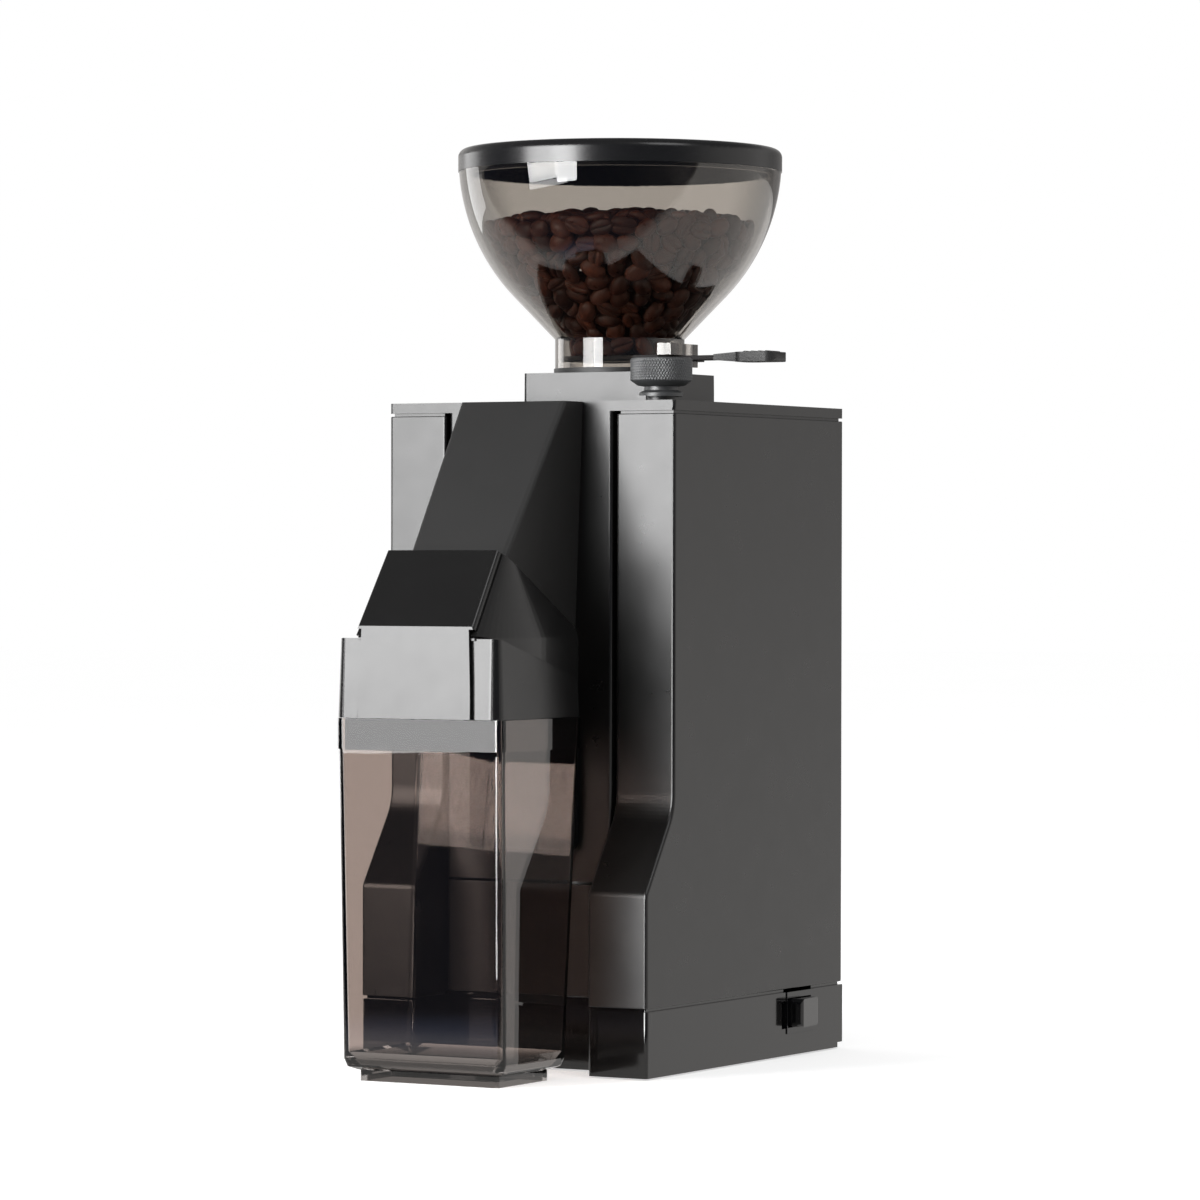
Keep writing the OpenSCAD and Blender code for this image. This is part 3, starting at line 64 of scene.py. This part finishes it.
def make_camera():
    """A long lens, a little above the middle of the grinder, from its front right."""
    yaw, pitch, roll = (math.radians(a) for a in (CAMERA_YAW, CAMERA_PITCH, CAMERA_ROLL))
    look = Vector(
        (-math.sin(yaw) * math.cos(pitch), math.cos(yaw) * math.cos(pitch), math.sin(pitch))
    )
    right = Vector((math.cos(yaw), math.sin(yaw), 0))
    up = right.cross(look)
    side = math.cos(roll) * right + math.sin(roll) * up
    top = -math.sin(roll) * right + math.cos(roll) * up
    data = bpy.data.cameras.new("camera")
    data.sensor_width = SENSOR
    data.lens = LENS
    data.clip_start = 0.05
    data.clip_end = 60
    camera = bpy.data.objects.new("camera", data)
    scene.collection.objects.link(camera)
    axes = Matrix((side, top, -look)).transposed().to_4x4()
    camera.matrix_world = Matrix.Translation(CAMERA_PLACE) @ axes
    scene.camera = camera


make_camera()


# ---------- node trees ----------


class Tree:
    """A node tree, emptied, with short calls to build it."""

    def __init__(self, nt):
        self.nt = nt
        nt.nodes.clear()

    def add(self, kind, **sockets):
        """A node, with its inputs set or linked by name (an underscore stands for a space)."""
        node = self.nt.nodes.new(kind)
        for key, value in sockets.items():
            self.put(node.inputs[key.replace("_", " ")], value)
        return node

    def put(self, socket, value):
        if isinstance(value, bpy.types.NodeSocket):
            self.nt.links.new(value, socket)
        elif isinstance(value, tuple) and len(value) == 3 and socket.type == "RGBA":
            socket.default_value = (*value, 1)
        else:
            socket.default_value = value

    def span(self, value, low, high, start=0.3, end=0.7, smooth=False):
        """Value mapped from start..end to low..high."""
        node = self.add("ShaderNodeMapRange", Value=value)
        for i, v in zip((1, 2, 3, 4), (start, end, low, high)):
            node.inputs[i].default_value = v
        if smooth:
            node.interpolation_type = "SMOOTHSTEP"
        return node.outputs[0]

    def blend(self, share, a, b, way="MIX"):
        node = self.nt.nodes.new("ShaderNodeMix")
        node.data_type = "RGBA"
        node.blend_type = way
        for i, v in zip((0, 6, 7), (share, a, b)):
            self.put(node.inputs[i], v)
        return node.outputs[2]

    def calc(self, operation, *values):
        node = self.nt.nodes.new("ShaderNodeMath")
        node.operation = operation
        for socket, value in zip(node.inputs, values):
            self.put(socket, value)
        return node.outputs[0]

    def mix_shaders(self, share, a, b):
        node = self.nt.nodes.new("ShaderNodeMixShader")
        for socket, value in zip(node.inputs, (share, a, b)):
            self.put(socket, value)
        return node.outputs[0]

    def axes(self, vector):
        """The x, y and z of a vector."""
        return self.add("ShaderNodeSeparateXYZ", Vector=vector).outputs

    def ray_kinds(self):
        """1 for rays that go straight on to the background, and 1 for mirrored ones.

        A ray that was mirrored inside clear plastic leaves it as a transmission ray, but counts
        as mirrored.
        """
        path = self.nt.nodes.new("ShaderNodeLightPath").outputs
        clear = path["Is Transmission Ray"]
        turned = self.calc("MULTIPLY", clear, self.calc("GREATER_THAN", path["Glossy Depth"], 0.5))
        seen = self.calc("MAXIMUM", path["Is Camera Ray"], clear)
        straight = self.calc("SUBTRACT", seen, turned)
        return straight, self.calc("MAXIMUM", path["Is Glossy Ray"], turned)


class Material(Tree):
    """A material's tree, with what its surface needs."""

    def __init__(self, name):
        self.mat = bpy.data.materials.new(name)
        self.mat.use_nodes = True
        super().__init__(self.mat.node_tree)
        self.out = self.nt.nodes.new("ShaderNodeOutputMaterial")
        self.place = self.nt.nodes.new("ShaderNodeTexCoord").outputs["Object"]

    def noise(self, scale, detail=2.0, rough=0.5, stretch=None):
        """Noise in object space, scale in cells for each metre."""
        place = self.place
        if stretch:
            place = self.add("ShaderNodeMapping", Vector=place, Scale=stretch).outputs[0]
        node = self.add(
            "ShaderNodeTexNoise", Vector=place, Scale=scale, Detail=detail, Roughness=rough
        )
        return node.outputs["Fac"]

    def bump(self, height, distance):
        return self.add("ShaderNodeBump", Height=height, Distance=distance, Strength=1.0).outputs[0]

    def surface(self, shader):
        self.put(self.out.inputs[0], shader)


# ---------- materials ----------

UNEVEN = 0.02  # change of roughness across a surface
TONE = 0.04  # change of colour across a surface
CLEAR_TONE = 0.018  # the same in clear plastic


def shade(c, k):
    return tuple(min(1.0, v * k) for v in c)


def finish_material(name, colour, rough, metal, grain, height, ior=1.5, stretch=None):
    """A surface of one colour with uneven gloss, a slight change of tone and a fine grain."""
    m = Material(name)
    broad = m.span(m.noise(22, 3.0, 0.55), 0.0, 1.0)
    smear = m.noise(90, 4.0, 0.6)
    fine = m.noise(grain, 2.0, 0.6, stretch)
    surface = m.add(
        "ShaderNodeBsdfPrincipled",
        Base_Color=m.blend(broad, shade(colour, 1 - TONE), shade(colour, 1 + TONE)),
        Roughness=m.span(smear, rough - UNEVEN, rough + UNEVEN),
        Metallic=metal,
        Normal=m.bump(fine, height),
        IOR=ior,
    )
    m.surface(surface.outputs[0])
    return m.mat


def smoke_material(name, tint, edge, start=0.45, end=0.95, thick=None):
    """Clear smoked plastic: deeper where the eye passes along the wall, and open to the lamps."""
    m = Material(name)
    broad = m.span(m.noise(16), 0.0, 1.0)
    colour = m.blend(broad, shade(tint, 1 - CLEAR_TONE), shade(tint, 1 + CLEAR_TONE))
    facing = m.add("ShaderNodeLayerWeight", Blend=0.5).outputs["Facing"]
    colour = m.blend(m.span(facing, 0.0, 1.0, start, end), colour, shade(tint, edge))
    if thick:
        # the heavy bottom soaks up more light
        top, full, share = thick
        depth = m.span(m.axes(m.place)[2], 1.0, 0.0, full, top)
        colour = m.blend(depth, colour, shade(tint, share))
    clear = m.add(
        "ShaderNodeBsdfPrincipled",
        Base_Color=colour,
        Roughness=m.span(m.noise(60, 3.0), 0.0, 0.02),
        Transmission_Weight=1.0,
        IOR=1.49,
        Normal=m.bump(m.noise(45, 1.0), 0.000006),
    )
    lamp = m.add("ShaderNodeBsdfTransparent", Color=shade(tint, 0.95))
    shadow = m.nt.nodes.new("ShaderNodeLightPath").outputs["Is Shadow Ray"]
    m.surface(m.mix_shaders(shadow, clear.outputs[0], lamp.outputs[0]))
    return m.mat


def bean_material():
    """Dark roasted coffee: each bean in its own brown, with a mottled skin and an oily sheen."""
    m = Material("roasted_bean")
    each = m.nt.nodes.new("ShaderNodeNewGeometry").outputs["Random Per Island"]
    roast = m.blend(each, (0.045, 0.0125, 0.0075), (0.125, 0.038, 0.021))
    skin = m.blend(m.span(m.noise(420, 4.0, 0.65), 0.0, 1.0), (0.5, 0.5, 0.5), (1, 1, 1))
    surface = m.add(
        "ShaderNodeBsdfPrincipled",
        Base_Color=m.blend(0.75, roast, skin, "MULTIPLY"),
        Roughness=m.span(m.noise(300), 0.26, 0.46),
        Normal=m.bump(m.noise(900, 3.0, 0.6), 0.00012),
        IOR=1.5,
    )
    m.surface(surface.outputs[0])
    return m.mat


PAINT_BLACK = (0.0055, 0.0053, 0.0052)

# slot: name, colour, roughness, metal, grain in cells for each metre, its height in metres
FINISHES = {
    "paint": ("satin_paint", PAINT_BLACK, 0.29, 0.0, 1500, 0.000004),
    "base_gloss": ("gloss_black", (0.0055, 0.0052, 0.0052), 0.08, 0.0, 900, 0.000001),
    "moulded": ("satin_moulded", PAINT_BLACK, 0.22, 0.0, 2400, 0.000003),
    "gloss_moulded": ("gloss_moulded", (0.006, 0.006, 0.0068), 0.08, 0.0, 900, 0.000001),
    "rubber": ("rubber", (0.011, 0.011, 0.011), 0.55, 0.0, 2600, 0.00003),
    "zinc": ("zinc", (0.56, 0.57, 0.58), 0.34, 1.0, 500, 0.000012),
    "cast": ("cast_alloy", (0.55, 0.56, 0.57), 0.46, 1.0, 1500, 0.00004),
    "burr": ("ground_steel", (0.58, 0.585, 0.6), 0.27, 1.0, 900, 0.00001),
    "bearing": ("bearing_steel", (0.7, 0.71, 0.73), 0.14, 1.0, 900, 0.000005),
    "brass": ("brass", (0.75, 0.56, 0.24), 0.26, 1.0, 700, 0.00001),
    "terminal": ("terminal_white", (0.75, 0.75, 0.72), 0.42, 0.0, 1400, 0.00002),
}
finish_of = {slot: finish_material(*values) for slot, values in FINISHES.items()}
finish_of["core"] = finish_material(
    "laminated_core", (0.3, 0.31, 0.33), 0.4, 1.0, 900, 0.00003, stretch=(0.05, 0.05, 1.6)
)
finish_of["copper"] = finish_material(
    "enamelled_wire", (0.6, 0.24, 0.09), 0.3, 1.0, 1100, 0.00006, stretch=(0.2, 0.2, 1.0)
)
finish_of["knob"] = finish_material(
    "anodised_grey", (0.055, 0.057, 0.059), 0.42, 0.0, 1500, 0.00001, ior=1.6
)
finish_of["lever"] = finish_material(
    "blade_steel", (0.02, 0.018, 0.018), 0.72, 0.0, 700, 0.00001, ior=1.3, stretch=(0.08, 1, 1)
)
finish_of["smoke"] = smoke_material(
    "smoke_container", (0.665, 0.592, 0.556), 0.5, thick=(0.0125, 0.008, 0.16)
)
smoke_hopper = smoke_material("smoke_hopper", (0.60, 0.565, 0.525), 0.10, start=0.30, end=0.78)

# nodes that look unlike the rest of their slot
special = {
    "gate_blade": finish_of["lever"],
    "hopper": smoke_hopper,
    "gate_guide": smoke_hopper,
    "spout": finish_material("satin_spout", (0.014, 0.0136, 0.0132), 0.5, 0.0, 2400, 0.000006),
    "hopper_lid": finish_material("lid_black", (0.006, 0.006, 0.0064), 0.24, 0.0, 900, 0.000002),
}
slot_of = {s["node"]: s["material_slot"] for s in frame["record"]["subparts"]}
for name, obj in nodes.items():
    obj.data.materials.clear()
    obj.data.materials.append(special.get(name, finish_of[slot_of[name]]))


# ---------- edges ----------

SOFT_EDGE = 0.35 * MM
WELD = 0.01 * MM
SHARP = math.radians(32)
SOFTENED = (
    "base", "top_cover", "lower_front_plate", "hopper_collar", "spout", "left_side_panel",
    "right_side_panel", "switch_housing", "power_rocker", "start_button", "gate_blade",
)


def soften(name):
    """Rounds a CAD node's sharp edges a little, for the light."""
    weld = nodes[name].modifiers.new("weld", "WELD")
    weld.merge_threshold = WELD
    bevel = nodes[name].modifiers.new("bevel", "BEVEL")
    bevel.width = SOFT_EDGE
    bevel.segments = 2
    bevel.limit_method = "ANGLE"
    bevel.angle_limit = SHARP
    bevel.harden_normals = True
    bevel.use_clamp_overlap = True


for name in SOFTENED:
    soften(name)


def solid(name, bm, mat, body):
    """A smooth piece from a bmesh, on a body."""
    mesh = bpy.data.meshes.new(name)
    bm.to_mesh(mesh)
    bm.free()
    mesh.polygons.foreach_set("use_smooth", [True] * len(mesh.polygons))
    mesh.materials.append(mat)
    piece = bpy.data.objects.new(name, mesh)
    scene.collection.objects.link(piece)
    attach(piece, body)
    return piece


# ---------- knurled adjuster ----------

KNURLS = 66  # diamonds round the band
KNURL_STEPS = 6  # points for each diamond
KNURL_ROWS = 42
KNURL_RISE = 1.9 * MM  # height of a diamond
KNURL_DEPTH = 0.3 * MM
KNURL_CREST = 0.35  # share of a diamond's side that stays at full radius
BAND = 8.7 * MM
WAIST = 6 * MM


def make_knob():
    """The adjuster's knob, turned, with a diamond knurl round its band."""
    low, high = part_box("adjust_knob")
    x, y = (low.x + high.x) / 2, (low.y + high.y) / 2
    r = (high.x - low.x) / 2
    top = high.z
    band_low = top - BAND
    flange = low.z + 1.5 * MM
    flange_r = r - 3.3 * MM
    edge = 0.7 * MM
    outline = [
        (WAIST - 0.8 * MM, low.z), (WAIST - 0.8 * MM, flange), (flange_r, flange),
        (flange_r, flange + 1.3 * MM), (flange_r - 0.8 * MM, flange + 1.9 * MM),
        (WAIST, flange + 2.3 * MM), (WAIST, band_low - 1.8 * MM),
        (flange_r + 0.6 * MM, band_low - 1.4 * MM), (r - 0.25 * MM, band_low + 0.3 * MM),
    ]
    band = [(r, z) for z in np.linspace(band_low + 0.5 * MM, top - edge, KNURL_ROWS)]
    crown = [
        (r - 0.3 * MM, top - 0.25 * MM), (r - edge, top),
        (r - 3 * MM, top - 0.02 * MM), (r * 0.4, top),
    ]
    steps = KNURLS * KNURL_STEPS
    bm = bmesh.new()
    rings = []
    for i, (radius, z) in enumerate(outline + band + crown):
        knurled = len(outline) <= i < len(outline) + len(band)
        ring = []
        for k in range(steps):
            a = FULL_TURN * k / steps
            depth = 0.0
            if knurled:
                rise = (z - band_low) / KNURL_RISE
                lines = [abs((KNURLS * k / steps + way * rise) % 1 - 0.5) * 2 for way in (1, -1)]
                depth = KNURL_DEPTH * max(0.0, (max(lines) - KNURL_CREST) / (1 - KNURL_CREST))
            out = radius - depth
            ring.append(bm.verts.new((x + out * math.cos(a), y + out * math.sin(a), z)))
        rings.append(ring)
    for one, two in zip(rings, rings[1:]):
        for k in range(steps):
            m = (k + 1) % steps
            bm.faces.new((one[k], one[m], two[m], two[k]))
    bm.faces.new(rings[-1])
    bm.faces.new(reversed(rings[0]))
    knob = solid("knurled_knob", bm, finish_of["knob"], "adjuster")
    knob.data.set_sharp_from_angle(angle=math.radians(38))
    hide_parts("adjust_knob")


make_knob()


# ---------- coffee beans, in millimetres until they are placed ----------

BEAN_LENGTH, BEAN_WIDTH, BEAN_HEIGHT = 4.9, 3.6, 2.7  # half sizes
BEAN_RINGS = 9
LOWEST, HIGHEST = 263.5, 311.5  # of the beans against the wall
FROM_WALL = 3.9  # a bean's middle from the wall
LAYERS = ((0, 8.0, 0.25), (1, 8.6, 0.7))  # number, pitch along a ring, tumble
LAYER_STEP = 5.2
HEAP, HEAP_RADIUS, HEAP_TOP, HEAP_TUMBLE = 150, 46.5, 311.0, 0.45
GOLDEN = 2.39996  # radians between one heaped bean and the next
SEAM_OUT = 0.45  # share of the beans that show their seam


def bean_form():
    """Points and faces of one bean about its middle: long along x, its seam facing -z."""
    w = BEAN_WIDTH
    section = [
        (w * math.cos(a), BEAN_HEIGHT * math.sin(a)) for a in np.linspace(0, math.pi, 9)
    ]
    section += [
        (-0.9 * w, -0.8), (-0.62 * w, -1.35), (-0.28 * w, -1.5), (-0.1 * w, -1.25),
        (0.0, -0.35), (0.1 * w, -1.25), (0.28 * w, -1.5), (0.62 * w, -1.35), (0.9 * w, -0.8),
    ]
    stations = np.sin(np.linspace(-1.32, 1.32, BEAN_RINGS))
    points, faces = [(-BEAN_LENGTH, 0, 0)], []
    for s in stations:
        k = math.sqrt(1 - s * s) ** 0.85
        bend = 0.28 * math.sin(2.6 * s)  # the seam's slight S
        points += [
            (s * BEAN_LENGTH, (c + (bend if abs(c) < 1.2 and z < 0 else 0)) * k, z * k)
            for c, z in section
        ]
    points.append((BEAN_LENGTH, 0, 0))
    last, n = len(points) - 1, len(section)
    for j in range(n):
        m = (j + 1) % n
        faces.append((0, 1 + m, 1 + j))
        faces.append((last, last - n + j, last - n + m))
        for i in range(BEAN_RINGS - 1):
            first = 1 + i * n
            faces.append((first + j, first + m, first + n + m, first + n + j))
    return np.array(points) * MM, faces


def bowl_radius(z):
    """Inner radius of the hopper at height z: a cone, then an arc, above the neck."""
    centre_x, centre_z, bend_r, cone = -14.6, 335.0, 72.8, math.radians(43.9)
    neck = 22.0
    bend_x, bend_z = centre_x + bend_r * math.cos(cone), centre_z - bend_r * math.sin(cone)
    if z > bend_z:
        return centre_x + math.sqrt(bend_r**2 - (centre_z - z) ** 2)
    return max(neck, bend_x - (bend_z - z) * math.tan(cone))


def bean_spots(rng):
    """Angle, radius, height, lean and tumble: two layers against the wall, and a heaped top."""
    spots = []
    for layer, pitch, tumble in LAYERS:
        z = LOWEST + layer * 1.5
        while z < HIGHEST - layer * 2:
            wall = bowl_radius(z)
            lean = math.atan2(bowl_radius(z + 1) - wall, 1.0)
            r = wall - FROM_WALL / math.cos(lean) - layer * LAYER_STEP
            count = int(FULL_TURN * r / pitch)
            start = rng.uniform(0, 6.28)
            for k in range(count):
                a = start + FULL_TURN * (k + rng.uniform(-0.16, 0.16)) / count
                inward = rng.uniform(0, 0.8)
                spots.append((a, r - inward, z + rng.uniform(-1.1, 1.1), lean, tumble))
            z += 5.3 * math.cos(lean) + 0.6
    for i in range(HEAP):
        r = HEAP_RADIUS * math.sqrt((i + 0.5) / HEAP)
        z = HEAP_TOP + 1.6 * math.cos(r / 16) + rng.uniform(-1.2, 1.6)
        spots.append((i * GOLDEN, r, z, None, HEAP_TUMBLE))
    return spots


def make_beans():
    """Each spot gets a bean, flat to the wall or the top and turned a little at random."""
    rng = np.random.default_rng(11)
    form, form_faces = bean_form()
    points, faces = [], []
    for a, r, z, lean, tumble in bean_spots(rng):
        if lean is None:
            out = Vector((0, 0, 1))
        else:
            level = math.cos(lean)
            out = Vector((math.cos(a) * level, math.sin(a) * level, -math.sin(lean)))
        out = (out + Vector(rng.normal(0, tumble * 0.45, 3))).normalized()
        face = -1 if rng.random() < SEAM_OUT else 1
        z_axis = (out * face).normalized()
        x_axis = Vector(rng.normal(0, 1, 3))
        x_axis = (x_axis - x_axis.dot(z_axis) * z_axis).normalized()
        y_axis = z_axis.cross(x_axis)
        size = rng.uniform(0.86, 1.08) * np.array([1, rng.uniform(0.92, 1.06), 1])
        place = np.array([math.cos(a) * r, math.sin(a) * r, z]) * MM
        first = len(points)
        points += list((form * size) @ np.array([x_axis, y_axis, z_axis]) + place)
        faces += [tuple(first + i for i in f) for f in form_faces]
    bm = bmesh.new()
    verts = [bm.verts.new(p) for p in points]
    for f in faces:
        bm.faces.new([verts[i] for i in f])
    solid("coffee_beans", bm, bean_material(), "hopper")


make_beans()


# ---------- floor and world ----------

FLOOR_RADIUS = 9
FLOOR_GLOW = 0.55
PALE_FLOOR = (0.93, 0.91, 0.89)  # mirrored beside and behind the part
BLUE_FLOOR = (0.42, 0.5, 0.78)  # mirrored just in front of it
DARK_FLOOR = (0.05, 0.055, 0.075)  # mirrored further in front
ROOM_FRONT, ROOM_REAR = (0.09, 0.1, 0.12), (0.81, 0.79, 0.775)
ROOM_MIDDLE, ROOM_TOP = (0.3, 0.29, 0.285), (0.22, 0.22, 0.225)
ROOM_MATT = (0.55, 0.55, 0.55)
WHITE = (1.0, 1.0, 1.0)


def make_floor():
    """White to the eye; to reflections it is white beside and behind the part and dim in front."""
    m = Material("floor_white")
    tone = m.blend(m.noise(3), (0.80, 0.80, 0.80), (0.82, 0.82, 0.82))
    straight, turned = m.ray_kinds()
    matt = m.add("ShaderNodeBsdfDiffuse", Color=tone)
    glow = m.add(
        "ShaderNodeEmission", Color=WHITE, Strength=m.span(straight, 0.0, FLOOR_GLOW, 0.0, 1.0)
    )
    both = m.nt.nodes.new("ShaderNodeAddShader")
    m.put(both.inputs[0], matt.outputs[0])
    m.put(both.inputs[1], glow.outputs[0])
    place = m.nt.nodes.new("ShaderNodeNewGeometry").outputs["Position"]
    away = m.add("ShaderNodeVectorMath", Vector=place)
    away.operation = "LENGTH"
    across, along, _ = m.axes(place)
    front = m.span(along, 1.0, 0.0, -0.28, -0.2)
    far = m.span(away.outputs["Value"], 0.0, 1.0, 0.24, 0.34)
    beside = m.span(across, 0.0, 1.0, -0.01, 0.03)
    ahead = m.blend(m.calc("MAXIMUM", far, beside), BLUE_FLOOR, DARK_FLOOR)
    shown = m.add("ShaderNodeEmission", Color=m.blend(front, PALE_FLOOR, ahead), Strength=1.0)
    m.surface(m.mix_shaders(turned, both.outputs[0], shown.outputs[0]))
    bm = bmesh.new()
    bmesh.ops.create_circle(bm, cap_ends=True, segments=96, radius=FLOOR_RADIUS)
    mesh = bpy.data.meshes.new("floor")
    bm.to_mesh(mesh)
    bm.free()
    floor = bpy.data.objects.new("floor", mesh)
    scene.collection.objects.link(floor)
    floor.data.materials.append(m.mat)


def make_world():
    """White to the eye and through clear plastic; a studio with a pale backdrop to reflections."""
    world = bpy.data.worlds.new("studio")
    scene.world = world
    world.use_nodes = True
    t = Tree(world.node_tree)
    way = t.nt.nodes.new("ShaderNodeTexCoord").outputs["Generated"]
    _, y, up = t.axes(way)
    room = t.blend(t.span(y, 0.0, 1.0, -0.5, 0.45, smooth=True), ROOM_FRONT, ROOM_REAR)
    room = t.blend(t.span(y, 0.0, 1.0, 0.86, 0.985, smooth=True), room, ROOM_MIDDLE)
    room = t.blend(t.span(up, 0.0, 1.0, 0.2, 0.6, smooth=True), room, ROOM_TOP)
    straight, turned = t.ray_kinds()
    colour = t.blend(straight, t.blend(turned, ROOM_MATT, room), WHITE)
    back = t.add("ShaderNodeBackground", Color=colour, Strength=1.0)
    t.put(t.add("ShaderNodeOutputWorld").inputs["Surface"], back.outputs[0])


make_floor()
make_world()


# ---------- lamps ----------

ALL_RAYS = ("diffuse", "glossy")


def softbox(name, place, target, width, height, radiance, rays=ALL_RAYS, spread=None):
    """A rectangular lamp of a given brightness for some kinds of rays, unseen by the camera."""
    data = bpy.data.lights.new(name, "AREA")
    data.shape = "RECTANGLE"
    data.size = width
    data.size_y = height
    data.energy = radiance * math.pi * width * height
    if spread:
        # a grid in front, that keeps the light to the middle at the same brightness
        half = spread / 2
        data.spread = spread
        data.energy *= 1 - half / math.tan(half)
    lamp = bpy.data.objects.new(name, data)
    scene.collection.objects.link(lamp)
    aim = Vector(target) - Vector(place)
    turn = aim.to_track_quat("-Z", "Y").to_matrix().to_4x4()
    lamp.matrix_world = Matrix.Translation(place) @ turn
    lamp.visible_camera = False
    lamp.visible_diffuse = "diffuse" in rays
    lamp.visible_glossy = "glossy" in rays
    lamp.visible_transmission = "through" in rays


MIRRORED = ("glossy",)
THROUGH = ("through",)
GRID = math.radians(60)
LAMPS = (
    ("key", (-0.455, -0.90, 0.37), (0.03, -0.09, 0.25), 0.40, 0.52, 14.4),
    ("key_wing", (-0.155, -1.06, 0.35), (0.05, -0.09, 0.25), 0.30, 0.58, 20.0, MIRRORED),
    ("low_card", (-0.40, -0.93, 0.085), (0.03, -0.09, 0.085), 0.55, 0.06, 7.0, MIRRORED),
    ("leg_card", (-0.045, -0.421, 0.05), (0.05, -0.086, 0.05), 0.12, 0.09, 19.0, MIRRORED, GRID),
    ("through_card", (-0.46, -0.94, 0.24), (0.03, -0.09, 0.24), 0.40, 0.17, 7.0, THROUGH),
    ("left", (-1.5, 0.3, 0.25), (0, 0, 0.25), 0.6, 0.6, 2.5),
    ("fill", (1.5, -0.7, 1.5), (0, 0, 0.15), 0.9, 0.9, 3.0),
)
for lamp in LAMPS:
    softbox(*lamp)

scene.view_settings.view_transform = "Standard"
